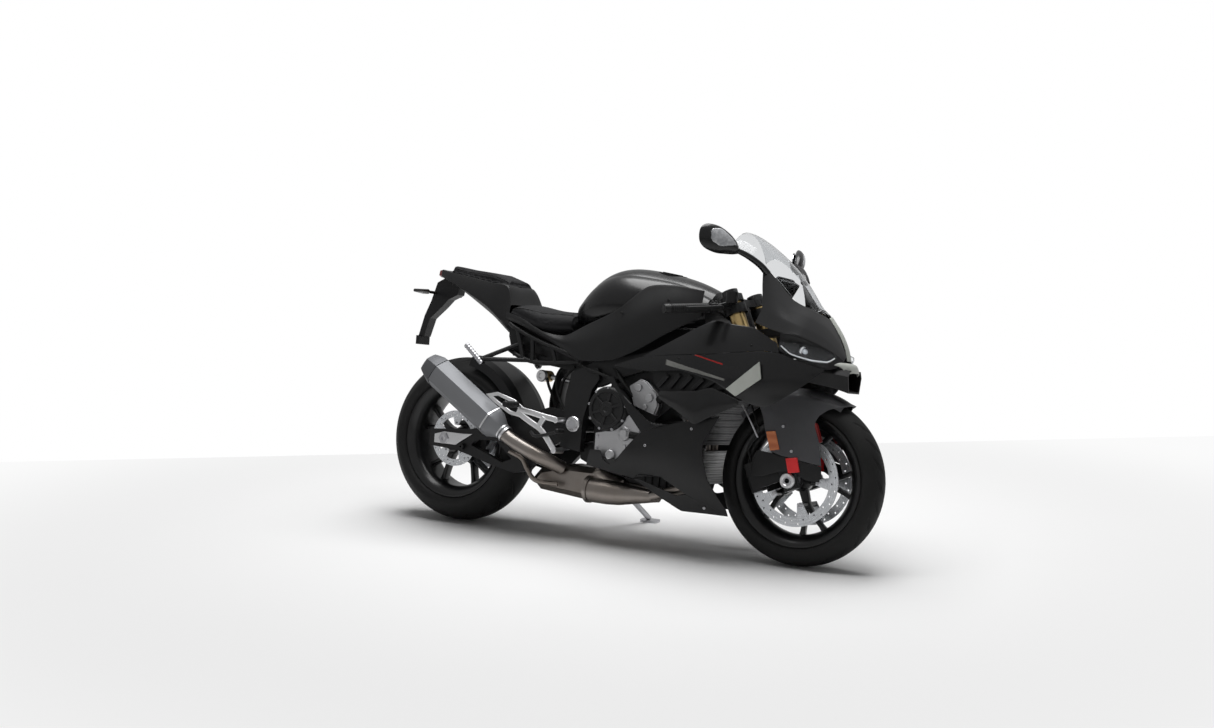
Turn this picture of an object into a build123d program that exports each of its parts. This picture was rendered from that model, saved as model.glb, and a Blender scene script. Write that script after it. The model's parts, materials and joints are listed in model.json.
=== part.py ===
from build123d import *
import math
import os

# Sport motorcycle parked on its side stand, in millimetres. It is drawn upright with x forward, y to the
# left and z up from the ground, the front axle at its reach, then leaned over and centred at the end.

# Driving dimensions
WHEELBASE = 1457.0
FRONT_REACH = 728.5
LEAN = 8.16
RAKE = 23.6
TRAIL = 99.8
FRONT_R = 300.0
FRONT_W = 120.0
FRONT_TALL = 82.0
REAR_R = 326.0
REAR_W = 196.0
REAR_TALL = 108.0
FORK_Y = 106.0
WALL = 4.0
GAP = 0.3
TYRE_SINK = 0.9

XF = FRONT_REACH
XR = XF - WHEELBASE
SIN_RAKE = math.sin(math.radians(RAKE))
COS_RAKE = math.cos(math.radians(RAKE))
OFFSET = FRONT_R * SIN_RAKE - TRAIL * COS_RAKE
FRONT_AXLE = (XF, 0, FRONT_R)
REAR_AXLE = (XR, 0, REAR_R)
UP_FORK = (-SIN_RAKE, 0, COS_RAKE)
AHEAD = (COS_RAKE, 0, SIN_RAKE)

# The head plane lies where the steering axis meets the ground: x ahead, y left, z up the axis
HEAD = Plane(origin=(XF + TRAIL, 0, 0), x_dir=AHEAD, z_dir=UP_FORK)
AXLE_UP = FRONT_R * COS_RAKE + TRAIL * SIN_RAKE
FRONT_RIM = FRONT_R - FRONT_TALL
REAR_RIM = REAR_R - REAR_TALL
FRONT_SPIN = Axis(FRONT_AXLE, (0, 1, 0))
REAR_SPIN = Axis(REAR_AXLE, (0, 1, 0))
PIVOT = (-116.0, 428.0)
CHAIN_Y = 118.0
SPROCKET_AT = (-38.0, 440.0)

pieces = {}


def keep(name, built):
    """File the finished solids under their node name, beside any already there."""
    pieces.setdefault(name, []).extend(built.part.solids())


def side(y):
    """Plane at lateral place y: local x forward, local y up, extrude goes to the right."""
    return Plane.XZ.offset(-y)


def across(x):
    """Plane across the bike at place x: local x left, local y up."""
    return Plane.YZ.offset(x)


def spoke_plane(axle):
    """Plane through an axle: local x lateral, local y radial, for turned sections."""
    return Plane(origin=axle, x_dir=(0, 1, 0), z_dir=(1, 0, 0))


def sheet(chain, wall):
    """Close an open chain of (y, z) points into a thin outline, the wall on its right hand."""
    inner = []
    last = len(chain) - 1
    for i, (y, z) in enumerate(chain):
        before = chain[max(i - 1, 0)]
        after = chain[min(i + 1, last)]
        dy, dz = after[0] - before[0], after[1] - before[1]
        size = math.hypot(dy, dz)
        inner.append((y + wall * dz / size, z - wall * dy / size))
    return list(chain) + inner[::-1]


def right_skin(table, wall=WALL):
    """Faces for a ruled right-hand panel: each row is x, then (z, half width) from low to high."""
    faces = []
    for x, *lines in table:
        with BuildSketch(across(x)) as cut:
            Polygon(*sheet([(-w, z) for z, w in lines], wall), align=None)
        faces.append(cut.sketch.face())
    return faces


def hull(table):
    """Faces for a solid symmetric body: each row is x, then (z, half width) from low to high."""
    faces = []
    for x, *lines in table:
        left = [(w, z) for z, w in lines]
        right = [(-w, z) for z, w in reversed(lines)]
        with BuildSketch(across(x)) as cut:
            Polygon(*left, *right, align=None)
        faces.append(cut.sketch.face())
    return faces


def domed(table):
    """Faces for a rounded body: each row is x, low z, half width low, widest z, half width, shoulder z,
    shoulder half width, top z."""
    faces = []
    for x, z0, w0, z1, w1, z2, w2, z3 in table:
        with BuildSketch(across(x)) as cut:
            with BuildLine():
                Line((-w0, z0), (w0, z0))
                ThreePointArc((w0, z0), (w1, z1), (w2, z2))
                ThreePointArc((w2, z2), (0, z3), (-w2, z2))
                ThreePointArc((-w2, z2), (-w1, z1), (-w0, z0))
            make_face()
        faces.append(cut.sketch.face())
    return faces


def toward(start, end):
    """Plane at start whose normal points to end, with local x kept as level as it can be."""
    run = Vector(*end) - Vector(*start)
    return Plane(origin=start, z_dir=run)


def span(start, end):
    """Distance between two points."""
    return (Vector(*end) - Vector(*start)).length


# Tyres: one C section each, open at the beads
# columns: name, axle, spin axis, half width, outer radius, bead half width, bead radius, shoulder radius,
# wall
TYRES = [
    ("front_tyre", FRONT_AXLE, FRONT_SPIN, FRONT_W / 2, FRONT_R, 44.5, FRONT_RIM + GAP, FRONT_R - 42, 10),
    ("rear_tyre", REAR_AXLE, REAR_SPIN, REAR_W / 2, REAR_R, 76.5, REAR_RIM + GAP, REAR_R - 58, 11),
]
for name, axle, spin, half, radius, bead, bead_r, shoulder, wall in TYRES:
    with BuildPart() as tyre:
        with BuildSketch(spoke_plane(axle)):
            with BuildLine():
                for s in (1, -1):
                    Polyline((s * (bead - wall), bead_r), (s * bead, bead_r), (s * bead, bead_r + 15))
                    ThreePointArc(
                        (s * bead, bead_r + 15),
                        (s * (half - 1), (shoulder + bead_r) / 2 + 6),
                        (s * half, shoulder),
                    )
                    Line((s * (bead - wall), bead_r), (s * (bead - wall), bead_r + 16))
                    Line((s * (bead - wall), bead_r + 16), (s * (half - wall), shoulder))
                ThreePointArc((half, shoulder), (0, radius), (-half, shoulder))
                ThreePointArc((half - wall, shoulder), (0, radius - wall), (wall - half, shoulder))
            make_face()
        revolve(axis=spin)
    keep(name, tyre)

FRONT_TURN = 0
REAR_TURN = 14
# Wheels: rim barrel, five forked spokes, hub with bore, and the posts that carry the discs
# columns: name, axle, spin axis, rim radius, first spoke angle, flange half width, bead half width,
# hub radius, hub half length, bore radius, spoke half depth, right post tip, left post tip, post circle radius
WHEELS = [
    ("front_rim", FRONT_AXLE, FRONT_SPIN, FRONT_RIM, FRONT_TURN, 52, 45, 36, 56, 12.55, 15, 63.7, 63.7, 88),
    ("rear_rim", REAR_AXLE, REAR_SPIN, REAR_RIM, REAR_TURN, 86, 77, 44, 62, 14.05, 22, 68.7, 106.7, 62),
]
for name, axle, spin, rim, first, flange, seat, hub_r, hub_half, bore, deep, tip_r, tip_l, post_at in WHEELS:
    flat = Plane(origin=axle, x_dir=(1, 0, 0), z_dir=(0, -1, 0))
    with BuildPart() as wheel:
        with BuildSketch(spoke_plane(axle)):
            with BuildLine():
                Polyline(
                    (-flange, rim + 14), (-seat - 1, rim + 14), (-seat, rim), (14 - seat, rim - 2),
                    (24 - seat, rim - 18), (seat - 24, rim - 18), (seat - 14, rim - 2), (seat, rim),
                    (seat + 1, rim + 14), (flange, rim + 14), (flange, rim + 4), (seat - 6, rim - 11),
                    (seat - 22, rim - 28), (22 - seat, rim - 28), (6 - seat, rim - 11), (-flange, rim + 4),
                    close=True,
                )
            make_face()
        revolve(axis=spin)
        with BuildSketch(flat):
            Circle(hub_r)
        extrude(amount=hub_half, both=True)
        with BuildSketch(flat):
            with PolarLocations(0, 5, start_angle=first):
                Polygon((28, -15), (96, -13), (96, 13), (28, 15), align=None)
                for s in (1, -1):
                    Polygon((84, s * 12), (98, s * -1), (rim - 20, s * 34), (rim - 26, s * 58), align=None)
        extrude(amount=deep, both=True)
        for tip, way in ((tip_r, 1), (tip_l, -1)):
            with BuildSketch(flat.offset(way * (deep - 2))):
                with PolarLocations(post_at, 5, start_angle=first):
                    Circle(9)
            extrude(amount=way * (tip - deep + 2))
        with BuildSketch(flat):
            Circle(bore)
        extrude(amount=hub_half + 1, both=True, mode=Mode.SUBTRACT)
    keep(name, wheel)

# Brake discs: a drilled ring on five lobes
# columns: node, axle, first lobe angle, plane sides, outer radius, inner radius, lobe circle radius,
# centre place, thickness
DISCS = [
    ("front_discs", FRONT_AXLE, FRONT_TURN, (1, -1), 160, 128, 88, 66.5, 5),
    ("rear_disc", REAR_AXLE, REAR_TURN, (1,), 110, 84, 62, 71.5, 5),
]
for name, axle, first, sides, outer, inner, lobe, place, thick in DISCS:
    with BuildPart() as disc:
        for s in sides:
            face = Plane(origin=axle, x_dir=(1, 0, 0), z_dir=(0, -1, 0)).offset(s * place)
            with BuildSketch(face):
                Circle(outer)
                Circle(inner, mode=Mode.SUBTRACT)
                with PolarLocations(0, 5, start_angle=first):
                    Polygon((inner + 3, -22), (lobe - 9, -9), (lobe - 9, 9), (inner + 3, 22), align=None)
                with PolarLocations(lobe, 5, start_angle=first):
                    Circle(4, mode=Mode.SUBTRACT)
                for k, ring in enumerate((0.3, 0.7)):
                    with PolarLocations(inner + ring * (outer - inner), 20, start_angle=9 * k):
                        Circle(3.2, mode=Mode.SUBTRACT)
            extrude(amount=thick / 2, both=True)
    keep(name, disc)

# Rear sprocket on the left of the rear wheel
SPROCKET_R = 106.0
with BuildPart() as rear_sprocket:
    with BuildSketch(Plane(origin=REAR_AXLE, x_dir=(1, 0, 0), z_dir=(0, -1, 0)).offset(-CHAIN_Y - 4)):
        Circle(SPROCKET_R)
        Circle(40, mode=Mode.SUBTRACT)
        with PolarLocations(80, 5, start_angle=54):
            Circle(15, mode=Mode.SUBTRACT)
    extrude(amount=8)
    with BuildSketch(Plane(origin=REAR_AXLE, x_dir=(1, 0, 0), z_dir=(0, -1, 0)).offset(-107)):
        Circle(74)
        Circle(45, mode=Mode.SUBTRACT)
    extrude(amount=-7.5)
keep("rear_disc", rear_sprocket)

# Axles, hollow for a workshop stand
# columns: node, axle, shaft radius, right end, left end, spacers (right from, to, left from, to),
# spacer radius, nut height
AXLES = [
    ("front_axle", FRONT_AXLE, 12.5, 134, 134, (56.5, 84.5, 56.5, 84.5), 20, 6.5),
    ("frame_axles", REAR_AXLE, 14.0, 152, 172, (62.5, 111.5, 62.5, 103), 24, 13.5),
]
AXLE_BORE = 9.0
for name, axle, shaft, right, left, (r0, r1, l0, l1), spacer, nut in AXLES:
    flat = Plane(origin=axle, x_dir=(1, 0, 0), z_dir=(0, -1, 0))
    with BuildPart() as rod:
        with BuildSketch(flat.offset(-left)):
            Circle(shaft)
        extrude(amount=left + right)
        for from_y, to_y, way in ((r0, r1, 1), (l0, l1, -1)):
            with BuildSketch(flat.offset(way * from_y)):
                Circle(spacer)
            extrude(amount=way * (to_y - from_y))
        for end, way in ((right, 1), (left, -1)):
            with BuildSketch(flat.offset(way * (end - nut))):
                RegularPolygon(shaft + 3, 6)
            extrude(amount=way * nut)
        with BuildSketch(flat.offset(-left)):
            Circle(AXLE_BORE)
        extrude(amount=left + right, mode=Mode.SUBTRACT)
    keep(name, rod)

# Fork: upper tubes, slim lower tubes and cast feet with caliper lugs, by their places up the steering axis
CLAMP_LOW = (755.0, 795.0)
CLAMP_TOP = (970.0, 995.0)
FORK_TOP = 1017.0
TUBE_FOOT = AXLE_UP + 318
with BuildPart() as fork_tubes:
    for s in (1, -1):
        with BuildSketch(HEAD.offset(TUBE_FOOT)):
            with Locations((OFFSET, s * FORK_Y)):
                Circle(29)
        extrude(amount=FORK_TOP - TUBE_FOOT)
        with BuildSketch(HEAD.offset(AXLE_UP + 132)):
            with Locations((OFFSET, s * FORK_Y)):
                Circle(21.5)
        extrude(amount=TUBE_FOOT - AXLE_UP - 132)
keep("fork_tubes", fork_tubes)

with BuildPart() as fork_feet:
    for s in (1, -1):
        with BuildSketch(HEAD.offset(AXLE_UP - 34)):
            with Locations((OFFSET, s * FORK_Y)):
                RectangleRounded(54, 42, 12)
        extrude(amount=165.5)
        with BuildSketch(HEAD.offset(AXLE_UP + 10)):
            with Locations((OFFSET - 66, s * 98)):
                Rectangle(100, 20)
        extrude(amount=96)
    with BuildSketch(Plane(origin=FRONT_AXLE, x_dir=(1, 0, 0), z_dir=(0, -1, 0))):
        Circle(12.7)
    extrude(amount=140, both=True, mode=Mode.SUBTRACT)
keep("fork_feet", fork_feet)

# Front calipers, open over the disc
with BuildPart() as front_calipers:
    for s in (1, -1):
        with BuildSketch(HEAD.offset(AXLE_UP + 4)):
            with Locations((OFFSET - 133, s * 66.5)):
                RectangleRounded(56, 42, 10)
        extrude(amount=104)
    for s in (1, -1):
        with BuildSketch(Plane(origin=FRONT_AXLE, x_dir=(1, 0, 0), z_dir=(0, -1, 0)).offset(s * 66.5)):
            Circle(161.5)
        extrude(amount=5.5, both=True, mode=Mode.SUBTRACT)
    with BuildSketch(Plane(origin=FRONT_AXLE, x_dir=(1, 0, 0), z_dir=(0, -1, 0))):
        Circle(104)
    extrude(amount=120, both=True, mode=Mode.SUBTRACT)
keep("front_calipers", front_calipers)

# Fork clamps with the steering stem
STEM_R = 16.0
# columns: from, to, with stem
CLAMPS = [(*CLAMP_LOW, True), (*CLAMP_TOP, False)]
for low, high, stem in CLAMPS:
    with BuildPart() as clamp:
        with BuildSketch(HEAD.offset(low)):
            Polygon(
                (OFFSET - 18, FORK_Y), (-44, 34), (-44, -34), (OFFSET - 18, -FORK_Y), (OFFSET + 20, -FORK_Y),
                (OFFSET + 4, -40), (OFFSET + 4, 40), (OFFSET + 20, FORK_Y), align=None,
            )
            with Locations((OFFSET, FORK_Y), (OFFSET, -FORK_Y)):
                Circle(40)
            with Locations((OFFSET, FORK_Y), (OFFSET, -FORK_Y)):
                Circle(29.2, mode=Mode.SUBTRACT)
            if not stem:
                Circle(STEM_R + 0.2, mode=Mode.SUBTRACT)
                with Locations((14, 62), (14, -62)):
                    SlotOverall(34, 16, rotation=-70, mode=Mode.SUBTRACT)
        extrude(amount=high - low)
        if stem:
            with BuildSketch(HEAD.offset(low)):
                Circle(STEM_R)
            extrude(amount=FORK_TOP - low - 8)
    keep("fork_clamps", clamp)

# Handlebars: a clamp ring on each fork leg, a bar that falls back and outward, grip and end weight
RING_UP = 927.0
BAR_IN = HEAD.from_local_coords(Vector(OFFSET, -FORK_Y, RING_UP + 17)) + Vector(-5, -39, 7.5)
BAR_OUT = BAR_IN + Vector(-149, -207, -27)
BAR_LONG = span(BAR_IN, BAR_OUT)
bar_plane = toward(BAR_IN, BAR_OUT)


def by_bar(*places):
    """Points given from the inner end of the right bar."""
    return [BAR_IN + Vector(*place) for place in places]


with BuildPart() as handlebars:
    with BuildSketch(HEAD.offset(RING_UP)):
        with Locations((OFFSET, -FORK_Y)):
            Circle(41)
            Circle(29.2, mode=Mode.SUBTRACT)
    extrude(amount=34)
    # columns: from, to, radius along the bar
    for start, end, radius in ((-8, BAR_LONG, 11), (88, BAR_LONG - 26, 16.5), (BAR_LONG - 24, BAR_LONG, 16)):
        with BuildSketch(bar_plane.offset(start)):
            Circle(radius)
        extrude(amount=end - start)
    with BuildSketch(HEAD.offset(RING_UP - 12)):
        with Locations((OFFSET, -FORK_Y)):
            Circle(29.2)
    extrude(amount=80, mode=Mode.SUBTRACT)
    mirror(about=Plane.XZ)
keep("handlebars", handlebars)

# Levers with their perches; the right one carries the fluid cup
perch = bar_plane.offset(52)
with BuildPart() as levers:
    with BuildSketch(perch):
        Circle(18)
        Circle(11.2, mode=Mode.SUBTRACT)
    extrude(amount=28)
    with BuildLine() as reach:
        FilletPolyline(
            *by_bar((-20, -51, -4), (6, -51, -2), (-32, -117, -12), (-68, -193, -22)), radius=10,
        )
    with BuildSketch(reach.line ^ 0):
        RectangleRounded(12, 16, 3)
    sweep()
    with BuildSketch(bar_plane.offset(30)):
        Circle(11.2)
    extrude(amount=60, mode=Mode.SUBTRACT)
    mirror(about=Plane.XZ)
    with BuildSketch(Plane(origin=BAR_IN + Vector(18, -23, 14))):
        Circle(21)
    extrude(amount=38)
    with BuildLine() as stalk:
        Line(*by_bar((-26, -45, 0), (16, -27, 18)))
    with BuildSketch(stalk.line ^ 0):
        Circle(5)
    sweep()
    with BuildSketch(bar_plane.offset(30)):
        Circle(11.2)
    extrude(amount=60, mode=Mode.SUBTRACT)
keep("handlebars", levers)

# Front fender: arch over the tyre and a guard wrapped round the front of each fork leg
# columns: height over the axle, then (ahead of the axle, half width) round the guard from the front to the rear
GUARD = [
    (24, (58, 126), (30, 135), (0, 139), (-34, 139), (-70, 136)),
    (46, (79, 108), (48, 128), (0, 139), (-60, 139), (-116, 131)),
    (100, (77, 104), (46, 126), (-8, 140), (-80, 139), (-130, 131)),
    (170, (80, 94), (46, 118), (-14, 139), (-88, 139), (-138, 131)),
    (230, (98, 80), (50, 104), (-14, 134), (-88, 138), (-134, 131)),
    (258, (126, 75), (64, 92), (0, 112), (-80, 135), (-128, 134)),
]
guard_faces = []
for up, *lines in GUARD:
    with BuildSketch(Plane.XY.offset(FRONT_R + up)) as cut:
        Polygon(*sheet([(XF + x, -w) for x, w in reversed(lines)], -WALL), align=None)
    guard_faces.append(cut.sketch.face())
# columns: half width, height over the tread
ARCH = [(w, FRONT_R + up) for w, up in (
    (-74, -16), (-70, 4), (-46, 18), (0, 23), (46, 18), (70, 4), (74, -16),
)]
with BuildPart() as front_fender:
    with BuildSketch(spoke_plane(FRONT_AXLE)):
        Polygon(*sheet(ARCH, -3.5), align=None)
    revolve(axis=FRONT_SPIN, revolution_arc=38)
    with BuildSketch(spoke_plane(FRONT_AXLE)):
        Polygon(*sheet(ARCH, -3.5), align=None)
    revolve(axis=FRONT_SPIN, revolution_arc=-46)
    loft(sections=guard_faces, ruled=True)
    lug_at = HEAD.from_local_coords((OFFSET, -127 - GAP, AXLE_UP + 70))
    with BuildSketch(Plane(origin=lug_at, z_dir=(0, -1, 0))):
        Circle(8)
    extrude(amount=8)
    mirror(about=Plane.XZ)
keep("front_fender", front_fender)

# Brake hoses from the lower clamp to the calipers
with BuildPart() as brake_hoses:
    with BuildLine(HEAD) as hose:
        FilletPolyline(
            (OFFSET - 52.6, -96, CLAMP_LOW[0] - 0.4), (OFFSET - 52.6, -104, AXLE_UP + 200),
            (OFFSET - 126.6, -80, AXLE_UP + 156), (OFFSET - 132.6, -68, AXLE_UP + 109.6), radius=20,
        )
    with BuildSketch(hose.line ^ 0):
        Circle(3.5)
    sweep()
    mirror(about=Plane.XZ)
keep("brake_hoses", brake_hoses)

# Main frame: two spars, pivot plates, steering head and cross tubes
SPAR = [
    (400, 800), (400, 735), (240, 668), (60, 612), (-30, 572), (-96, 560), (-120, 630), (-60, 662),
    (150, 706),
]
PIVOT_PLATE = [
    (-95, 640), (-143, 620), (-161, 533), (-171, 338), (-83, 328), (-80, 446), (-50, 559), (-22, 600),
    (-30, 640),
]
HEAD_PLAN = [(330, 155), (385, 150), (425, 62), (470, 34), (470, -34), (425, -62), (385, -150), (330, -155),
             (330, -127), (348, -110), (348, 110), (330, 127)]
with BuildPart() as main_frame:
    for s in (1, -1):
        with BuildSketch(side(s * 127)):
            Polygon(*SPAR, align=None)
        extrude(amount=-s * 28)
        with BuildSketch(side(s * 140)):
            Polygon(*PIVOT_PLATE, align=None)
        extrude(amount=-s * 32)
    with BuildSketch(Plane.XY.offset(738)):
        Polygon(*HEAD_PLAN, align=None)
    extrude(amount=62)
    with BuildSketch(HEAD.offset(CLAMP_LOW[1] + 0.5)):
        Circle(36)
    extrude(amount=CLAMP_TOP[0] - CLAMP_LOW[1] - 1)
    for x, z, r in ((-132, 606, 16), (-125, 345, 12)):
        with BuildSketch(side(150)):
            with Locations((x, z)):
                Circle(r)
        extrude(amount=300)
    with BuildSketch(HEAD.offset(CLAMP_LOW[0])):
        Circle(STEM_R + 0.3)
    extrude(amount=300, mode=Mode.SUBTRACT)
    with BuildSketch(side(180)):
        with Locations(PIVOT):
            Circle(14.2)
    extrude(amount=360, mode=Mode.SUBTRACT)
keep("main_frame", main_frame)

# Swingarm: two arms, pivot tube and cross box
ARM = [
    (XR - 77.5, REAR_R + 32), (XR - 77.5, REAR_R - 32), (XR + 67.5, REAR_R - 43), (XR + 227.5, REAR_R - 84),
    (-397, REAR_R - 105), (-329, REAR_R - 93), (-230, 336), (-120, 392), (-86, 428), (-120, 464), (-250, 482),
    (-400, 432), (XR + 128.5, REAR_R + 46),
]
BOBBIN = (XR + 88.5, REAR_R - 26)
ARM_WINDOW = [
    (XR + 127.5, REAR_R - 17), (XR + 146.5, REAR_R + 6), (XR + 244.5, REAR_R + 10), (-407, REAR_R - 54),
    (-451, REAR_R - 71),
]
CROSS_BACK = XR + REAR_R + 30.5
with BuildPart() as swingarm:
    for y0, wide in ((-112, 26), (158, 26)):
        with BuildSketch(side(y0)):
            Polygon(*ARM, align=None)
            Polygon(*ARM_WINDOW, mode=Mode.SUBTRACT, align=None)
        extrude(amount=wide)
    with BuildSketch(side(134)):
        Polygon((CROSS_BACK, 366), (CROSS_BACK, 436), (-264, 442), (-264, 360), align=None)
    extrude(amount=248)
    with BuildSketch(side(138)):
        with Locations(PIVOT):
            Circle(30)
    extrude(amount=276)
    with BuildSketch(side(200)):
        with Locations(PIVOT):
            Circle(14.2)
        with Locations((XR, REAR_R)):
            SlotOverall(56, 28.4)
    extrude(amount=400, mode=Mode.SUBTRACT)
    with BuildSketch(side(200)):
        Polygon((-196, 200), (-196, 600), (0, 600), (0, 200), align=None)
    extrude(amount=61.5, mode=Mode.SUBTRACT)
keep("swingarm", swingarm)

# Threaded bosses on the arms for a workshop stand
BOSS_LONG = 16.0
with BuildPart() as stand_bosses:
    for face in (158 + GAP + BOSS_LONG, -138 - GAP):
        with BuildSketch(side(face)):
            with Locations(BOBBIN):
                Circle(13)
                Circle(4, mode=Mode.SUBTRACT)
        extrude(amount=BOSS_LONG)
keep("swingarm", stand_bosses)

with BuildPart() as swingarm_pivot:
    with BuildSketch(side(186)):
        with Locations(PIVOT):
            Circle(14)
    extrude(amount=372)
    for y0 in (186, -172.3):
        with BuildSketch(side(y0)):
            with Locations(PIVOT):
                Circle(24)
        extrude(amount=13.7)
keep("frame_axles", swingarm_pivot)

# Subframe plates under the seat, with the tray between them
TRAY = [
    (-466, 712), (-450, 676), (-313, 652), (-156, 632), (-156, 746), (-250, 750), (-317, 754), (-400, 780),
    (-466, 780),
]
SUBFRAME = [(-475.6, 786), (-138, 660), (-139, 620.6), (-313, 643), (-452, 668), (-475.6, 742)]
with BuildPart() as subframe:
    for s in (1, -1):
        with BuildSketch(side(s * 96)):
            Polygon(*SUBFRAME, align=None)
            Polygon((-300, 668), (-420, 690), (-440, 744), (-250, 680), mode=Mode.SUBTRACT, align=None)
        extrude(amount=-s * 18)
    for x, z in ((-430, 752), (-200, 660)):
        with BuildSketch(side(100)):
            with Locations((x, z)):
                Circle(10)
        extrude(amount=200)
    with BuildSketch(side(96)):
        Polygon(*TRAY, align=None)
    extrude(amount=192)
keep("subframe", subframe)

# Engine: crankcase and forward-leaning cylinders as one block
CRANKCASE = [(-56, 345), (-56, 540), (20, 590), (150, 560), (215, 430), (205, 320), (60, 288), (-20, 300)]
CYLINDERS = [(10, 560), (150, 430), (262, 520), (285, 590), (190, 668), (110, 652)]
with BuildPart() as engine_block:
    with BuildSketch(side(98)):
        Polygon(*CRANKCASE, align=None)
    extrude(amount=222)
    with BuildSketch(side(124)):
        Polygon(*CYLINDERS, align=None)
    extrude(amount=248)
    with BuildSketch(side(127 - GAP)):
        with Locations((130, 645)):
            Circle(9)
    extrude(amount=2 * (127 - GAP))
keep("engine_block", engine_block)

CLUTCH_AT = (33.0, 495.0)
CLUTCH_R = 82.0
with BuildPart() as clutch_cover:
    with BuildSketch(side(-124 - GAP)):
        with Locations(CLUTCH_AT):
            Circle(CLUTCH_R)
    extrude(amount=68.5)
    with BuildSketch(side(-192.5)):
        with Locations(CLUTCH_AT):
            Circle(CLUTCH_R - 8)
            Circle(CLUTCH_R - 22, mode=Mode.SUBTRACT)
            Circle(22)
    extrude(amount=10)
    with BuildSketch(side(-124)):
        Polygon((-60, 540), (-60, 640), (120, 640), (120, 565), (30, 545), align=None)
    extrude(amount=50, mode=Mode.SUBTRACT)
keep("engine_covers", clutch_cover)

CRANK_COVER = [(-14, 404), (60, 420), (128, 486), (177, 425), (113, 352), (66, 306), (-14, 340)]
with BuildPart() as crankcase_cover:
    with BuildSketch(side(-124 - GAP)):
        Polygon(*CRANK_COVER, align=None)
        with Locations(CLUTCH_AT):
            Circle(CLUTCH_R + GAP, mode=Mode.SUBTRACT)
    extrude(amount=58)
    for at, r in (((107, 410), 24), ((56, 330), 17)):
        with BuildSketch(side(-170)):
            with Locations(at):
                Circle(r)
        extrude(amount=24)
keep("crankcase_cover", crankcase_cover)

with BuildPart() as alternator_cover:
    with BuildSketch(side(194)):
        with Locations((110, 452)):
            Circle(66)
    extrude(amount=194 - 124 - GAP)
keep("engine_covers", alternator_cover)

# Cooling: radiator with side tanks, and the oil cooler below it
# columns: top (x, z), bottom (x, z), half width, thickness, tank width
COOLERS = [
    ((452, 622), (398, 398), 160, 34, 26),
    ((392, 372), (372, 252), 124, 28, 20),
]
with BuildPart() as coolers:
    for top, low, half, thick, tank in COOLERS:
        run = toward((low[0], 0, low[1]), (top[0], 0, top[1]))
        board = Plane(origin=run.origin, x_dir=(0, 1, 0), z_dir=run.z_dir)
        tall = span((low[0], 0, low[1]), (top[0], 0, top[1]))
        with BuildSketch(board):
            Rectangle(2 * half, thick)
            for s in (1, -1):
                with Locations((0, s * thick / 2)):
                    Rectangle(2 * (half - tank), 12, mode=Mode.SUBTRACT)
        extrude(amount=tall)
        for k in range(9):
            with BuildSketch(board.offset(tall * (k + 0.5) / 9)):
                Rectangle(2 * half - tank, thick - 5)
            extrude(amount=3)
    # columns: outline of a bracket, half width place
    for outline, place in (
        ([(444, 610), (458, 616), (399, 733.9), (380, 725.9)], 144),
        ([(386, 362), (396, 362), (404, 406), (394, 406)], 112),
    ):
        for s in (1, -1):
            with BuildSketch(side(s * place)):
                Polygon(*outline, align=None)
            extrude(amount=s * 8)
keep("coolers", coolers)

# Exhaust: four headers, collector box, link pipe with silencer
HEAD_PORTS = (-96, -34, 34, 96)
with BuildPart() as exhaust_headers:
    for y in HEAD_PORTS:
        with BuildLine() as run:
            FilletPolyline(
                (262, y, 578), (326, y, 545), (332, y, 300), (262, y * 0.62, 205), (64, y * 0.42 - 20, 198),
                radius=30,
            )
        with BuildSketch(run.line ^ 0):
            Circle(18)
        sweep()
    with BuildSketch(side(130)):
        Polygon((262 + GAP, 520), (285 + GAP, 590), (240, 640), (150, 600), align=None)
    extrude(amount=260, mode=Mode.SUBTRACT)
keep("exhaust_pipes", exhaust_headers)

BOX = [(-338, 205), (-300, 168), (-10, 140), (60, 158), (60, 236), (-60, 270), (-200, 272), (-300, 250)]
with BuildPart() as exhaust_box:
    with BuildSketch(side(66)):
        Polygon(*BOX, align=None)
    extrude(amount=170)
    chamfer(exhaust_box.faces().sort_by(Axis.Y)[0].edges(), 22)
    chamfer(exhaust_box.faces().sort_by(Axis.Y)[-1].edges(), 22)
    # columns: x, middle y, middle z, width, height of the collector
    for x, y, z, wide, tall in ((56, -19, 197, 122, 72), (216, -4, 203, 152, 46)):
        with BuildSketch(across(x)):
            with Locations((y, z)):
                RectangleRounded(wide, tall, 20)
    loft()
keep("exhaust_pipes", exhaust_box)

CAN_FRONT = (-452.0, -202.0, 402.0)
CAN_REAR = (-722.0, -214.0, 580.0)
can_plane = toward(CAN_FRONT, CAN_REAR)
CAN_LONG = span(CAN_FRONT, CAN_REAR)
with BuildPart() as silencer:
    with BuildSketch(can_plane):
        RegularPolygon(60, 6)
    extrude(amount=CAN_LONG)
    with BuildSketch(can_plane):
        Circle(50)
    with BuildSketch(can_plane.offset(-46)):
        Circle(29)
    loft()
    with BuildLine() as link:
        FilletPolyline(
            can_plane.from_local_coords((0, 0, -44)), (-330, -198, 330), (-232, -168, 284), (-188, -86, 250),
            radius=34,
        )
    with BuildSketch(link.line ^ 0):
        Circle(27)
    sweep()
    with BuildSketch(side(-104 - GAP)):
        Rectangle(900, 900)
    extrude(amount=-120, mode=Mode.SUBTRACT)
keep("silencer", silencer)

with BuildPart() as silencer_caps:
    with BuildSketch(can_plane.offset(CAN_LONG + GAP)):
        RegularPolygon(62, 6)
    with BuildSketch(can_plane.offset(CAN_LONG + 62)):
        RegularPolygon(44, 6)
    loft(ruled=True)
    with BuildSketch(can_plane.offset(CAN_LONG + 20)):
        Circle(24)
    extrude(amount=60, mode=Mode.SUBTRACT)
keep("silencer_caps", silencer_caps)

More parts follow.
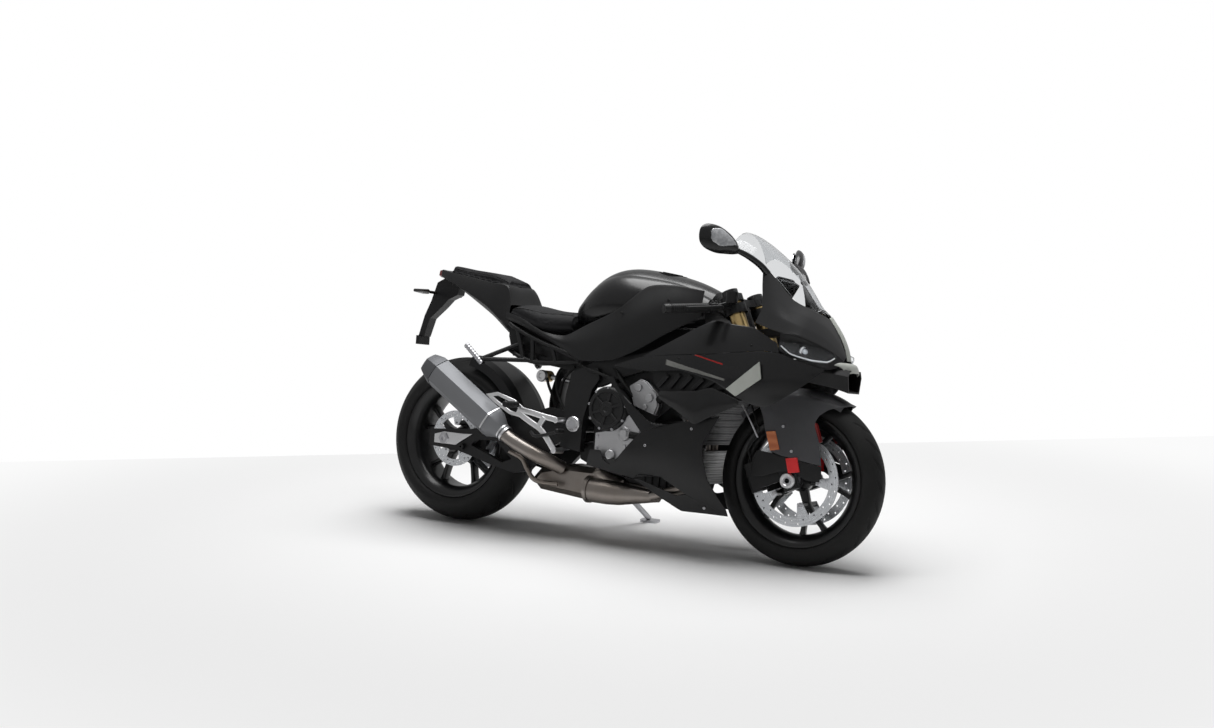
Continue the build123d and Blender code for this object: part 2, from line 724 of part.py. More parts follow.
# Fuel tank with a sunk seat for the cap
TANK = [
    (-194, 806, 60, 850, 76, 880, 50, 900),
    (-145, 806, 84, 870, 112, 925, 70, 952),
    (-43, 806, 104, 890, 146, 985, 84, 1014),
    (60, 806, 112, 890, 154, 990, 90, 1022),
    (186, 806, 112, 890, 150, 975, 90, 1004),
    (300, 806, 108, 880, 138, 945, 84, 974),
    (366, 808, 92, 862, 122, 915, 72, 946),
]
CAP_PLANE = Plane(origin=(160, 0, 1008), x_dir=(0.988, 0, -0.153), z_dir=(0.153, 0, 0.988))
tank_faces = domed(TANK)
with BuildPart() as fuel_tank:
    loft(sections=tank_faces)
    with BuildSketch(Plane.XY.offset(800 + GAP)):
        with Locations((357, 0)):
            Rectangle(14, 90)
    extrude(amount=20)
    with BuildSketch(CAP_PLANE.offset(-16)):
        Circle(52)
        with Locations((52, 0)):
            Rectangle(26, 40)
    extrude(amount=60, mode=Mode.SUBTRACT)
keep("fuel_tank", fuel_tank)

with BuildPart() as fuel_cap:
    with BuildSketch(CAP_PLANE.offset(-15.5)):
        Circle(46)
    extrude(amount=15.5)
    with BuildSketch(CAP_PLANE):
        Circle(38)
        Circle(30, mode=Mode.SUBTRACT)
    extrude(amount=2.5)
    with BuildSketch(CAP_PLANE):
        with Locations((46, 0)):
            Rectangle(16, 24)
    extrude(amount=-9)
    with BuildSketch(Plane(origin=CAP_PLANE.from_local_coords((54, 12, -4.5)), z_dir=(0, -1, 0))):
        Circle(4.5)
    extrude(amount=24)
keep("fuel_cap", fuel_cap)

# Side covers along the tank
SIDE_COVER = [
    (-470, (802, 132), (816, 132), (829, 130)),
    (-300, (724, 152), (740, 154), (754, 152)),
    (-190, (682, 168), (716, 168), (752, 152)),
    (-104, (664, 176), (740, 172), (800, 150)),
    (36, (674, 188), (780, 190), (858, 176)),
    (140, (716, 188), (840, 186), (948, 148)),
    (250, (782, 176), (880, 172), (956, 146)),
    (366, (846, 150), (890, 150), (940, 138)),
]
cover_faces = right_skin(SIDE_COVER)
with BuildPart() as side_covers:
    loft(sections=cover_faces, ruled=True)
    with BuildSketch(side(-155 - GAP)):
        with Locations((36, 681)):
            Circle(6)
    extrude(amount=31)
    mirror(about=Plane.XZ)
keep("side_covers", side_covers)

# Seats
SEAT = [
    (-475.6, 830, 100, 846, 122, 852, 116, 861),
    (-400, 790, 110, 830, 140, 850, 122, 868),
    (-317, 764, 112, 820, 146, 842, 116, 854),
    (-250, 760, 104, 815, 128, 840, 96, 849),
    (-200, 772, 80, 815, 96, 838, 70, 846),
]
seat_faces = domed(SEAT)
with BuildPart() as rider_seat:
    loft(sections=seat_faces)
keep("rider_seat", rider_seat)

# Tail: solid rear body, with the pillion seat and lamp on it
TAIL = [
    (-476, (742, 60), (795, 124), (862, 116)),
    (-512, (756, 60), (800, 122), (938, 96)),
    (-600, (822, 56), (860, 114), (950, 84)),
    (-744, (905, 44), (925, 88), (976, 66)),
    (-830, (944, 34), (955, 64), (990, 50)),
    (-880, (966, 24), (974, 42), (1000, 36)),
]
tail_faces = hull(TAIL)
with BuildPart() as tail_fairing:
    loft(sections=tail_faces, ruled=True)
keep("tail_fairing", tail_fairing)

PILLION = [
    (-512, (938.5, 88), (948, 84), (958, 66)),
    (-600, (950.5, 80), (972, 82), (988, 58)),
    (-744, (976.5, 62), (990, 62), (1004, 44)),
    (-830, (990.5, 46), (1004, 44), (1018, 30)),
]
pillion_faces = hull(PILLION)
with BuildPart() as pillion_seat:
    loft(sections=pillion_faces, ruled=True)
keep("pillion_seat", pillion_seat)

with BuildPart() as tail_light:
    with BuildSketch(across(-880 - GAP)):
        Polygon((24, 967), (41, 975), (35, 999), (-35, 999), (-41, 975), (-24, 967), align=None)
    extrude(amount=-15, taper=12)
keep("rear_lamps", tail_light)

# Plate holder with indicators
HOLDER = [
    (-912, 948), (-878, 964.8), (-830, 943.7), (-800, 930.1), (-806, 900), (-850, 880), (-880, 850),
    (-938, 800), (-962, 726), (-992, 722), (-966, 812), (-938, 872),
]
with BuildPart() as plate_holder:
    with BuildSketch(side(22)):
        Polygon(*HOLDER, align=None)
    extrude(amount=44)
    with BuildSketch(across(-976)):
        with Locations((0, 710)):
            Rectangle(70, 36)
    extrude(amount=-16)
keep("plate_holder", plate_holder)

with BuildPart() as rear_indicators:
    with BuildSketch(side(-22 - GAP)):
        with Locations((-916, 905)):
            Circle(6)
    extrude(amount=62)
    with BuildSketch(side(-84)):
        with Locations((-922, 905)):
            SlotOverall(44, 20)
    extrude(amount=56, taper=4)
    mirror(about=Plane.XZ)
keep("rear_lamps", rear_indicators)

# Front cowl, lamps and side fairings; the stay bar carries them
STAY_BAR = (644.0, 822.0)
COWL_HALF = 196.0
STAY_HALF = COWL_HALF - 16
COWL = [
    (598, (836, COWL_HALF), (930, 190), (1036, 166)),
    (675, (806, COWL_HALF), (872, 180), (922, 136)),
    (750, (800, 184), (842, 150), (884, 88)),
    (792, (782, 148), (826, 96), (862, -4)),
    (856, (746, 74), (752, 36), (756, -4)),
]
# Windscreen, a thin curved sheet on a lip of the cowl
# columns: x, centre z, edge z, edge half width
SCREEN = [
    (764, 896, 884, 60), (700, 978, 920, 105), (630, 1056, 998, 129), (560, 1112, 1060, 142),
    (500, 1150, 1088, 154), (462, 1164, 1070, 160),
]
SCREEN_T = 3.0
LIP_T = 3.0
LIP_OUT = 26.0


def bow(x, zc, ze, w):
    """Radius and edge angle of the screen's arc at one station."""
    sag = zc - ze
    radius = (w * w + sag * sag) / (2 * sag)
    return radius, math.asin(w / radius)


def arc_band(x, low, edge, r_out, r_in):
    """Face of a bowed band across the bike between two radii about a centre at height low."""
    with BuildSketch(across(x)) as cut:
        with BuildLine():
            for r in (r_out, r_in):
                ThreePointArc(
                    (-r * math.sin(edge), low + r * math.cos(edge)),
                    (0, low + r),
                    (r * math.sin(edge), low + r * math.cos(edge)),
                )
            for s in (1, -1):
                Line(
                    (s * r_out * math.sin(edge), low + r_out * math.cos(edge)),
                    (s * r_in * math.sin(edge), low + r_in * math.cos(edge)),
                )
        make_face()
    return cut.sketch.face()


screen_faces = []
clear_faces = []
lip_faces = []
for x, zc, ze, w in SCREEN:
    radius, edge = bow(x, zc, ze, w)
    screen_faces.append(arc_band(x, zc - radius, edge, radius, radius - SCREEN_T))
    clear_faces.append(arc_band(x, zc - radius, edge + 0.4 / radius, radius + 6, radius - SCREEN_T - GAP))
    if x > 590:
        outer = radius - SCREEN_T - GAP
        with BuildSketch(across(x)) as cut:
            Polygon(
                *[
                    (-r * math.sin(a), zc - radius + r * math.cos(a))
                    for r, turns in ((outer, (-12, 0, 1)), (outer - LIP_T, (1, 0, -12)))
                    for a in [edge + t * (LIP_OUT if t > 0 else 1) / radius for t in turns]
                ],
                align=None,
            )
        lip_faces.append(cut.sketch.face())
cowl_faces = right_skin(COWL)
with BuildPart() as front_cowl:
    loft(sections=cowl_faces, ruled=True)
    loft(sections=lip_faces)
    loft(sections=clear_faces, mode=Mode.SUBTRACT)
    with BuildSketch(side(-STAY_HALF)):
        with Locations(STAY_BAR):
            Circle(6)
    extrude(amount=COWL_HALF - STAY_HALF - WALL + 1)
    mirror(about=Plane.XZ)
keep("front_cowl", front_cowl)
with BuildPart() as windscreen:
    loft(sections=screen_faces)
keep("windscreen", windscreen)

LAMPS = [
    (700, (748, 192), (770, 194)),
    (760, (716, 178), (772, 180)),
    (815, (706, 130), (742, 132)),
    (846, (716, 90), (728, 92)),
]
lamp_faces = right_skin(LAMPS, 12)
with BuildPart() as headlights:
    loft(sections=lamp_faces, ruled=True)
    mirror(about=Plane.XZ)
    with BuildSketch(side(124)):
        with Locations((790, 724)):
            Circle(6)
    extrude(amount=248)
keep("headlights", headlights)

UPPER = [
    (60, (600, 205), (650, 214), (690, 206), (740, 192)),
    (220, (590, 216), (645, 228), (705, 218), (790, 186)),
    (380, (585, 224), (655, 236), (725, 224), (840, 178)),
    (520, (575, 230), (640, 240), (750, 226), (840, 190)),
    (640, (545, 215), (640, 238), (760, 216), (820, 200)),
    (760, (590, 176), (640, 184), (720, 182), (780, 176)),
    (832, (660, 112), (680, 114), (696, 112), (720, 106)),
]
UPPER_EDGE = [
    (62, 654), (178, 691), (440, 836), (519, 821), (559, 800), (600, 812), (650, 800), (685, 766), (712, 741),
    (748, 708), (815, 698), (830, 684), (763, 612), (670, 545), (560, 562), (521, 606), (347, 650),
    (216, 640),
]
upper_faces = right_skin(UPPER)
with BuildPart() as side_fairings:
    loft(sections=upper_faces, ruled=True)
    with BuildSketch(side(0)):
        Polygon(*UPPER_EDGE, align=None)
    extrude(amount=400, mode=Mode.INTERSECT)
    with BuildSketch(side(-155 - GAP)):
        with Locations((250, 720)):
            Circle(8)
    extrude(amount=56.5)
    mirror(about=Plane.XZ)
keep("side_fairings", side_fairings)

BELLY = [
    (-45, (250, 166), (330, 208), (420, 212), (620, 212)),
    (140, (240, 150), (320, 206), (430, 214), (620, 218)),
    (330, (150, 134), (320, 204), (450, 216), (620, 220)),
    (460, (150, 138), (210, 182), (440, 214), (620, 220)),
    (546, (150, 150), (180, 170), (440, 212), (620, 216)),
]
BELLY_EDGE = [
    (32, 608), (60, 614), (116, 539), (212, 468), (258, 448), (320, 463), (496, 502), (463, 445), (441, 405),
    (442, 363), (463, 281), (521, 183), (524, 156), (335, 154), (279, 182), (141, 250), (69, 264), (-41, 285),
    (-15, 344), (27, 344), (39, 314), (95, 319), (191, 423), (131, 488), (84, 558),
]
BELLY_HOLE = [(173, 270), (262, 270), (368, 216), (326, 208), (175, 250)]
belly_faces = right_skin(BELLY)
with BuildPart() as belly_fairings:
    loft(sections=belly_faces, ruled=True)
    with BuildSketch(side(0)):
        Polygon(*BELLY_EDGE, align=None)
        Polygon(*BELLY_HOLE, mode=Mode.SUBTRACT, align=None)
    extrude(amount=400, mode=Mode.INTERSECT)
    with BuildSketch(side(-155 - GAP)):
        with Locations((47, 608)):
            Circle(6)
    extrude(amount=57.5)
    mirror(about=Plane.XZ)
keep("belly_fairings", belly_fairings)

WING = [
    (262, (548, 232), (560, 236), (572, 230)),
    (410, (467, 236), (510, 248), (582, 236)),
    (470, (496, 238), (540, 248), (596, 238)),
    (576, (546, 236), (552, 240), (558, 238)),
]
wing_faces = right_skin(WING)
with BuildPart() as wing_panels:
    loft(sections=wing_faces, ruled=True)
    with BuildSketch(side(-216.6)):
        with Locations((425, 490)):
            Circle(7)
    extrude(amount=22)
    mirror(about=Plane.XZ)
keep("belly_fairings", wing_panels)

WINGLET = [(650, 697), (660, 640), (570, 575), (533, 598)]
with BuildPart() as winglets:
    with BuildSketch(side(-252)):
        Polygon(*WINGLET, align=None)
    extrude(amount=5)
    with BuildSketch(side(-239.2)):
        with Locations((600, 640)):
            Rectangle(44, 8, rotation=35)
    extrude(amount=13.8)
    mirror(about=Plane.XZ)
keep("winglets", winglets)

INTAKE = [(896, (612, 52), (668, 66), (690, 54)), (840, (628, 62), (676, 78), (700, 62)),
          (728, (644, 70), (680, 84), (706, 70))]
intake_faces = hull(INTAKE)
mouth_faces = hull([(x + (1 if x > 850 else -1), (a + 5, w - 5), (b, v - 5), (c - 5, u - 5))
                    for x, (a, w), (b, v), (c, u) in INTAKE])
with BuildPart() as nose_intake:
    loft(sections=intake_faces, ruled=True)
    loft(sections=mouth_faces, ruled=True, mode=Mode.SUBTRACT)
    with BuildSketch(side(12)):
        Polygon((729, 700), (752, 700), (662, 836), (652, 830), (648, 812), align=None)
        Polygon((780, 699), (800, 699), (800, 717.7), (780, 717.7), align=None)
        with Locations(STAY_BAR):
            Circle(9 + GAP, mode=Mode.SUBTRACT)
    extrude(amount=24)
keep("nose_intake", nose_intake)

# Mirrors on the cowl
# columns: half width place, x centre, z centre, half depth, half height
MIRROR = [
    (262, 540, 1072, 12, 14), (300, 524, 1088, 26, 34), (350, 504, 1098, 30, 46), (396, 484, 1104, 24, 40),
    (416, 474, 1106, 10, 20),
]
mirror_faces = []
for w, x, z, a, b in MIRROR:
    with BuildSketch(side(-w)) as cut:
        with Locations((x, z)):
            Ellipse(a, b)
    mirror_faces.append(cut.sketch.face())
with BuildPart() as mirrors:
    loft(sections=mirror_faces)
    with BuildLine() as arm:
        FilletPolyline((612, -174, 1008), (596, -204, 1036), (538, -270, 1074), radius=20)
    with BuildSketch(arm.line ^ 0):
        Circle(10)
    sweep()
    mirror(about=Plane.XZ)
keep("mirrors", mirrors)

with BuildPart() as dash:
    with BuildSketch(Plane(origin=(596, 0, 965), x_dir=(0, 1, 0), z_dir=(-0.86, 0, 0.5))):
        RectangleRounded(150, 80, 10)
    extrude(amount=-26)
keep("fairing_stay", dash)

# Stay from the steering head to the front bodywork
with BuildPart() as fairing_stay:
    with BuildSketch(side(30)):
        Polygon(
            (520, 786), (640, 800), (650, 826), (606, 832), (606, 916.5), (592, 916.5), (592, 826),
            (512, 812), align=None,
        )
    extrude(amount=60)
    with BuildSketch(side(STAY_HALF - GAP)):
        with Locations(STAY_BAR):
            Circle(9)
    extrude(amount=2 * (STAY_HALF - GAP))
    with BuildSketch(HEAD.offset(CLAMP_LOW[0])):
        Circle(36 + GAP)
    extrude(amount=300, mode=Mode.SUBTRACT)
keep("fairing_stay", fairing_stay)

# Footrests
HANGER = [
    (-475, 514), (-425, 524), (-335, 500), (-300, 470), (-150, 452), (-146, 420), (-230, 390), (-150, 338),
    (-140, 306), (-186, 306), (-290, 380), (-344, 455), (-460, 500),
]
with BuildPart() as rider_footrests:
    with BuildSketch(side(-230)):
        Polygon(*HANGER, align=None)
        Polygon((-300, 446), (-215, 436), (-258, 394), mode=Mode.SUBTRACT, align=None)
    extrude(amount=10)
    with BuildSketch(side(-240)):
        with Locations((-332, 484)):
            Circle(12)
    extrude(amount=82)
    for at in ((-160, 438), (-160, 326)):
        with BuildSketch(side(-172 - GAP)):
            with Locations(at):
                Circle(11)
        extrude(amount=58)
    with BuildLine() as pedal:
        FilletPolyline((-262, -236, 388), (-230, -252, 372), (-130, -252, 398), (-118, -252, 402), radius=20)
    with BuildSketch(pedal.line ^ 0):
        RectangleRounded(10, 12, 3)
    sweep()
    with BuildSketch(side(-242)):
        with Locations((-120, 401)):
            Circle(9)
    extrude(amount=44)
    mirror(about=Plane.XZ)
keep("footrests", rider_footrests)

with BuildPart() as passenger_footrests:
    for start, end in (((-382, 735), (-541, 646)), ((-300, 656), (-541, 646))):
        with BuildLine() as stay:
            Line((start[0], -100, start[1]), (end[0], -196, end[1]))
        with BuildSketch(stay.line ^ 0):
            RectangleRounded(18, 14, 4)
        sweep()
    with BuildSketch(side(-114 - GAP)):
        with Locations((-400, 700)):
            Rectangle(600, 400)
    extrude(amount=-60, mode=Mode.SUBTRACT)
    with BuildLine() as peg:
        Line((-532, -200, 628), (-606, -212, 698))
    with BuildSketch(peg.line ^ 0):
        Circle(11)
    sweep()
    mirror(about=Plane.XZ)
keep("footrests", passenger_footrests)

# Rear hugger over the tyre
# columns: half width, height over the tread
HUGGER = [(w, REAR_R + up) for w, up in (
    (-REAR_W / 2 - 5, -26), (-REAR_W / 2 - 2, 6), (-60, 14), (60, 14), (REAR_W / 2 + 2, 6),
    (REAR_W / 2 + 5, -26),
)]
HUGGER_PIN = (
    XR + (REAR_R - 12) * math.cos(math.radians(8)), REAR_R + (REAR_R - 12) * math.sin(math.radians(8)),
)
with BuildPart() as rear_hugger:
    with BuildSketch(spoke_plane(REAR_AXLE)):
        Polygon(*sheet(HUGGER, -3.5), align=None)
    revolve(axis=REAR_SPIN, revolution_arc=84)
    with BuildSketch(side(-REAR_W / 2 - 7)):
        with Locations(HUGGER_PIN):
            Circle(6)
    extrude(amount=112 - REAR_W / 2 - 7 - GAP)
    with BuildSketch(side(200)):
        Polygon((XR, REAR_R), (XR, 3 * REAR_R), (XR + 0.46 * REAR_R, 3 * REAR_R), align=None)
    extrude(amount=400, mode=Mode.SUBTRACT)
keep("rear_hugger", rear_hugger)

# Shock with its coil and reservoir
SHOCK_TOP = (-176.0, 0.0, 588.0)
SHOCK_LOW = (-214.0, 0.0, 336.0)
shock_plane = toward(SHOCK_LOW, SHOCK_TOP)
with BuildPart() as shock:
    with BuildSketch(shock_plane):
        Circle(19)
    extrude(amount=span(SHOCK_LOW, SHOCK_TOP))
    for place in (52, 212):
        with BuildSketch(shock_plane.offset(place)):
            Circle(36)
        extrude(amount=10)
    with BuildLine() as coil:
        Helix(24, 152, 28, center=shock_plane.offset(60).origin, direction=shock_plane.z_dir)
    with BuildSketch(coil.line ^ 0):
        Circle(5.5)
    sweep()
    with BuildSketch(side(-12)):
        with Locations((-336, 598)):
            Circle(22)
    extrude(amount=72)
    with BuildSketch(side(10)):
        Polygon((-196, 560), (-128, 592), (-128, 616), (-190, 588), align=None)
        with Locations((-132, 606)):
            Circle(16 + GAP, mode=Mode.SUBTRACT)
        Polygon((-216, 344), (-216, 376), (-263.6, 404), (-263.6, 376), align=None)
    extrude(amount=20)
    with BuildLine() as neck:
        Line((-180, -8, 572), (-336, -24, 598))
    with BuildSketch(neck.line ^ 0):
        Circle(9)
    sweep()
keep("shock", shock)

# Chain loop and front sprocket
PITCH_REAR = SPROCKET_R + 7.5
PITCH_FRONT = 43.2
dx = SPROCKET_AT[0] - XR
dz = SPROCKET_AT[1] - REAR_R
tilt = math.atan2(dz, dx)
lean_in = math.asin((PITCH_REAR - PITCH_FRONT) / math.hypot(dx, dz))


def loop_points(grow):
    """The four points where the straight runs leave the sprockets, grown outward."""
    points = []
    for s in (1, -1):
        turn = tilt + s * (math.pi / 2 - lean_in)
        for (cx, cz), r in (((XR, REAR_R), PITCH_REAR + grow), (SPROCKET_AT, PITCH_FRONT + grow)):
            points.append((cx + r * math.cos(turn), cz + r * math.sin(turn)))
    return points


with BuildPart() as chain:
    with BuildSketch(side(CHAIN_Y + 9)):
        for grow, mode in ((7, Mode.ADD), (-7, Mode.SUBTRACT)):
            r1, f1, r2, f2 = loop_points(grow)
            back = (XR - (PITCH_REAR + grow) * math.cos(tilt), REAR_R - (PITCH_REAR + grow) * math.sin(tilt))
            front = (
                SPROCKET_AT[0] + (PITCH_FRONT + grow) * math.cos(tilt),
                SPROCKET_AT[1] + (PITCH_FRONT + grow) * math.sin(tilt),
            )
            with BuildLine():
                Line(r1, f1)
                ThreePointArc(f1, front, f2)
                Line(f2, r2)
                ThreePointArc(r2, back, r1)
            make_face(mode=mode)
    extrude(amount=18)
keep("chain", chain)

with BuildPart() as front_sprocket:
    with BuildSketch(side(CHAIN_Y + 4)):
        with Locations(SPROCKET_AT):
            Circle(PITCH_FRONT - 7.5)
    extrude(amount=8)
    with BuildSketch(side(CHAIN_Y + 12)):
        with Locations(SPROCKET_AT):
            Circle(16)
    extrude(amount=31.7)
keep("chain", front_sprocket)

# Rear caliper over the disc, and the axle blocks on the arms
with BuildPart() as rear_caliper:
    with BuildSketch(side(-88)):
        with Locations((XR + 108, REAR_R - 12)):
            RectangleRounded(60, 78, 10)
    extrude(amount=-36)
    with BuildSketch(side(-71.5)):
        with Locations((XR, REAR_R)):
            Circle(112)
    extrude(amount=6, both=True, mode=Mode.SUBTRACT)
    with BuildSketch(side(-88)):
        Polygon(
            (XR + 24, REAR_R + 14), (XR + 110, REAR_R + 27), (XR + 110, REAR_R - 51), (XR + 24, REAR_R - 16),
            align=None,
        )
    extrude(amount=20)
    with BuildSketch(side(0)):
        with Locations((XR, REAR_R)):
            Circle(24 + GAP)
    extrude(amount=200, mode=Mode.SUBTRACT)
keep("rear_caliper", rear_caliper)

# Side stand on its bracket, on the left
STAND_TOP = Vector(-130, 152, 226)
STAND_FOOT = Vector(-52, 344, 62)
down = (STAND_FOOT - STAND_TOP).normalized()
folded = Vector(-0.97, 0.22, 0.12).normalized()
STAND_AXIS = down.cross(folded).normalized()
pin_plane = Plane(origin=STAND_TOP, z_dir=STAND_AXIS)
leg_plane = Plane(origin=STAND_TOP, z_dir=down)
ground = Plane(origin=(-50, 350, 350 * math.tan(math.radians(LEAN)) - TYRE_SINK), x_dir=(1, 0, 0),
               z_dir=(0, -math.sin(math.radians(LEAN)), math.cos(math.radians(LEAN))))
with BuildPart() as side_stand:
    with BuildSketch(pin_plane):
        Circle(16)
    extrude(amount=11.5, both=True)
    with BuildSketch(leg_plane.offset(6)):
        Circle(11)
    extrude(amount=(STAND_FOOT - STAND_TOP).length - 6)
    with BuildSketch(ground):
        RectangleRounded(76, 44, 12)
    extrude(amount=9)
    with BuildSketch(pin_plane):
        Circle(8.06)
    extrude(amount=20, both=True, mode=Mode.SUBTRACT)
keep("side_stand", side_stand)

with BuildPart() as stand_bracket:
    with BuildSketch(pin_plane.offset(-16)):
        Circle(8)
    extrude(amount=35)
    with BuildSketch(pin_plane.offset(-16)):
        Circle(13)
    extrude(amount=4)
    with BuildSketch(pin_plane.offset(12)):
        Circle(15)
    extrude(amount=8)
    with BuildLine() as lug:
        Line(pin_plane.offset(18).origin, (-106, 186, 352))
    with BuildSketch(lug.line ^ 0):
        RectangleRounded(16, 14, 4)
    sweep()
    with BuildSketch(pin_plane.offset(11.9)):
        Circle(40)
    extrude(amount=-3, mode=Mode.SUBTRACT)
    with BuildSketch(pin_plane.offset(-11.9)):
        Circle(8)
    extrude(amount=24)
    with BuildSketch(side(190)):
        Polygon((-142, 394), (-90, 394), (-84, 338), (-132, 338), align=None)
    extrude(amount=190 - 172 - GAP)
keep("main_frame", stand_bracket)

# Lean the bike on its stand and put the origin under the middle of its box
leaned = {name: Location((0, 0, 0), (-LEAN, 0, 0)) * Compound(solids) for name, solids in pieces.items()}
boxes = [piece.bounding_box() for piece in leaned.values()]
SHIFT = Vector(
    -(min(b.min.X for b in boxes) + max(b.max.X for b in boxes)) / 2,
    -(min(b.min.Y for b in boxes) + max(b.max.Y for b in boxes)) / 2,
    -min(b.min.Z for b in boxes),
)
os.makedirs("parts", exist_ok=True)
for name, piece in leaned.items():
    placed = Location(SHIFT) * piece
    placed.label = name
    export_step(placed, f"parts/{name}.step")
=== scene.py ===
import json
import math

import bmesh
import bpy
import numpy as np
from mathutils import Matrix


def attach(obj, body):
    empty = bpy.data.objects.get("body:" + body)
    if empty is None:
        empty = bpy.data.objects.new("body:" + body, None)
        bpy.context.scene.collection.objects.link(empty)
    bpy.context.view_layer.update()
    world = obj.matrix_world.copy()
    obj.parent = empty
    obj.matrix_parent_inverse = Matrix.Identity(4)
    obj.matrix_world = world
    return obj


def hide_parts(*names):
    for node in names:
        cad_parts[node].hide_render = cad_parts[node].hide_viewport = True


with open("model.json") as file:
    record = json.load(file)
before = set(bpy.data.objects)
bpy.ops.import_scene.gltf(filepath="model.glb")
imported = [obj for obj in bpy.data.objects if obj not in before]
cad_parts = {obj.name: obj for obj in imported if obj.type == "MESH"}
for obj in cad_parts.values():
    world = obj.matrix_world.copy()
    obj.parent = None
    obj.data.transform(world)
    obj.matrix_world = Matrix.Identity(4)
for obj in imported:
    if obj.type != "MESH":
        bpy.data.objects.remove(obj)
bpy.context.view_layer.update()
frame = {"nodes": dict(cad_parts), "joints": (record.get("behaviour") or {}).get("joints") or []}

# Shared frame: pieces are drawn upright in millimetres, then leaned and shifted like the parts
LEAN = math.radians(8.16)
FRONT_AXLE = np.array([728.5, 0.0, 300.0])
REAR_AXLE = np.array([-728.5, 0.0, 326.0])
RAKE = math.radians(23.6)
FORK_FOOT_X = 828.3
SHELL = {"wall": 3.0, "round_off": 0.8, "closed": False}
BEVEL_OVER = math.radians(40)
JOINTS = {joint["name"]: joint for joint in frame["joints"]}


def turned(points):
    """Points leaned about the ground line: y and z turn together by the lean angle, mm to m."""
    p = np.asarray(points, float) / 1000
    y = p[..., 1] * math.cos(LEAN) + p[..., 2] * math.sin(LEAN)
    z = p[..., 2] * math.cos(LEAN) - p[..., 1] * math.sin(LEAN)
    return np.stack([p[..., 0], y, z], -1)


SHIFT = np.array(JOINTS["front_wheel_spin"]["pos_m"]) - turned(FRONT_AXLE)


def placed(points):
    """Upright millimetres to the row frame in metres: lean, then shift."""
    return turned(points) + SHIFT


# Shader arithmetic
class Wire:
    """One socket of a material's node tree; arithmetic on it adds Math nodes."""

    def __init__(self, tree, socket=None):
        self.tree = tree
        self.socket = socket

    def node(self, kind, settings, inputs, out=0):
        """Any other node: its type, its settings, then its sockets' values or links."""
        made = self.tree.nodes.new("ShaderNode" + kind)
        for key, value in settings.items():
            setattr(made, key, value)
        for key, value in inputs.items():
            if isinstance(value, Wire):
                self.tree.links.new(value.socket, made.inputs[key])
            else:
                made.inputs[key].default_value = value
        return Wire(self.tree, made.outputs[out])

    def math(self, operation, a, b=0.0, clamp=False):
        return self.node("Math", {"operation": operation, "use_clamp": clamp}, {0: a, 1: b})

    def __add__(self, other):
        return self.math("ADD", self, other)

    def __radd__(self, other):
        return self.math("ADD", other, self)

    def __sub__(self, other):
        return self.math("SUBTRACT", self, other)

    def __rsub__(self, other):
        return self.math("SUBTRACT", other, self)

    def __mul__(self, other):
        return self.math("MULTIPLY", self, other)

    def __rmul__(self, other):
        return self.math("MULTIPLY", other, self)

    def __truediv__(self, other):
        return self.math("DIVIDE", self, other)

    def __rtruediv__(self, other):
        return self.math("DIVIDE", other, self)

    def __pow__(self, other):
        return self.math("POWER", self, other)

    def __neg__(self):
        return self.math("MULTIPLY", self, -1.0)

    def above(self, level, soft):
        """0 below the level, 1 above it, with a smooth step of the given width."""
        low = level - soft / 2
        high = level + soft / 2
        return self.node("MapRange", {"interpolation_type": "SMOOTHSTEP"}, {0: self, 1: low, 2: high})

    def band(self, low, high, soft):
        return self.above(low, soft) * (1.0 - self.above(high, soft))


def mixed(wire, factor, first, second):
    """Colour from the first to the second by a factor; each is a wire or red, green and blue."""
    first, second = (c if isinstance(c, Wire) else (*c, 1.0) for c in (first, second))
    return wire.node("Mix", {"data_type": "RGBA"}, {0: factor, 6: first, 7: second}, 2)


def noise(wire, at, scale, detail=3.0, rough=0.55, stretch=(1, 1, 1), turn=(0, 0, 0)):
    """Fractal noise in Object coordinates, stretched along an axis for brushed grain."""
    if stretch != (1, 1, 1) or turn != (0, 0, 0):
        at = wire.node("Mapping", {}, {"Vector": at, "Rotation": turn})
        at = wire.node("VectorMath", {"operation": "MULTIPLY"}, {0: at, 1: stretch})
    inputs = {"Vector": at, "Scale": scale, "Detail": detail, "Roughness": rough}
    return wire.node("TexNoise", {}, inputs)


def bumped(wire, height, strength, depth=0.001):
    return wire.node("Bump", {}, {"Strength": strength, "Distance": depth, "Height": height})


def parts_of(wire, vector):
    """The x, y and z of a vector as three wires."""
    split = wire.tree.nodes.new("ShaderNodeSeparateXYZ")
    wire.tree.links.new(vector.socket, split.inputs[0])
    return [Wire(wire.tree, split.outputs[i]) for i in range(3)]


def upright(wire, at):
    """Object coordinates turned back to the upright drawing, in millimetres: x, y and z wires."""
    at = wire.node("VectorMath", {"operation": "SUBTRACT"}, {0: at, 1: tuple(SHIFT)})
    x, y, z = parts_of(wire, at)
    c = 1000 * math.cos(LEAN)
    s = 1000 * math.sin(LEAN)
    return x * 1000.0, y * c - z * s, y * s + z * c


MADE = {}
FLUTES = 1400.0
TUBE_PITCH = 0.70
FIN_PITCH = 2.1


def material(name, looks, **constants):
    """A Principled material; looks returns the sockets that vary, constants set the others."""
    made = bpy.data.materials.new(name)
    made.use_nodes = True
    tree = made.node_tree
    surface = tree.nodes["Principled BSDF"]
    for key, value in constants.items():
        surface.inputs[key.replace("_", " ")].default_value = value
    wire = Wire(tree)
    at = wire.node("TexCoord", {}, {}, "Object")
    for key, value in looks(wire, at).items():
        tree.links.new(value.socket, surface.inputs[key])
    MADE[name] = made
    return made


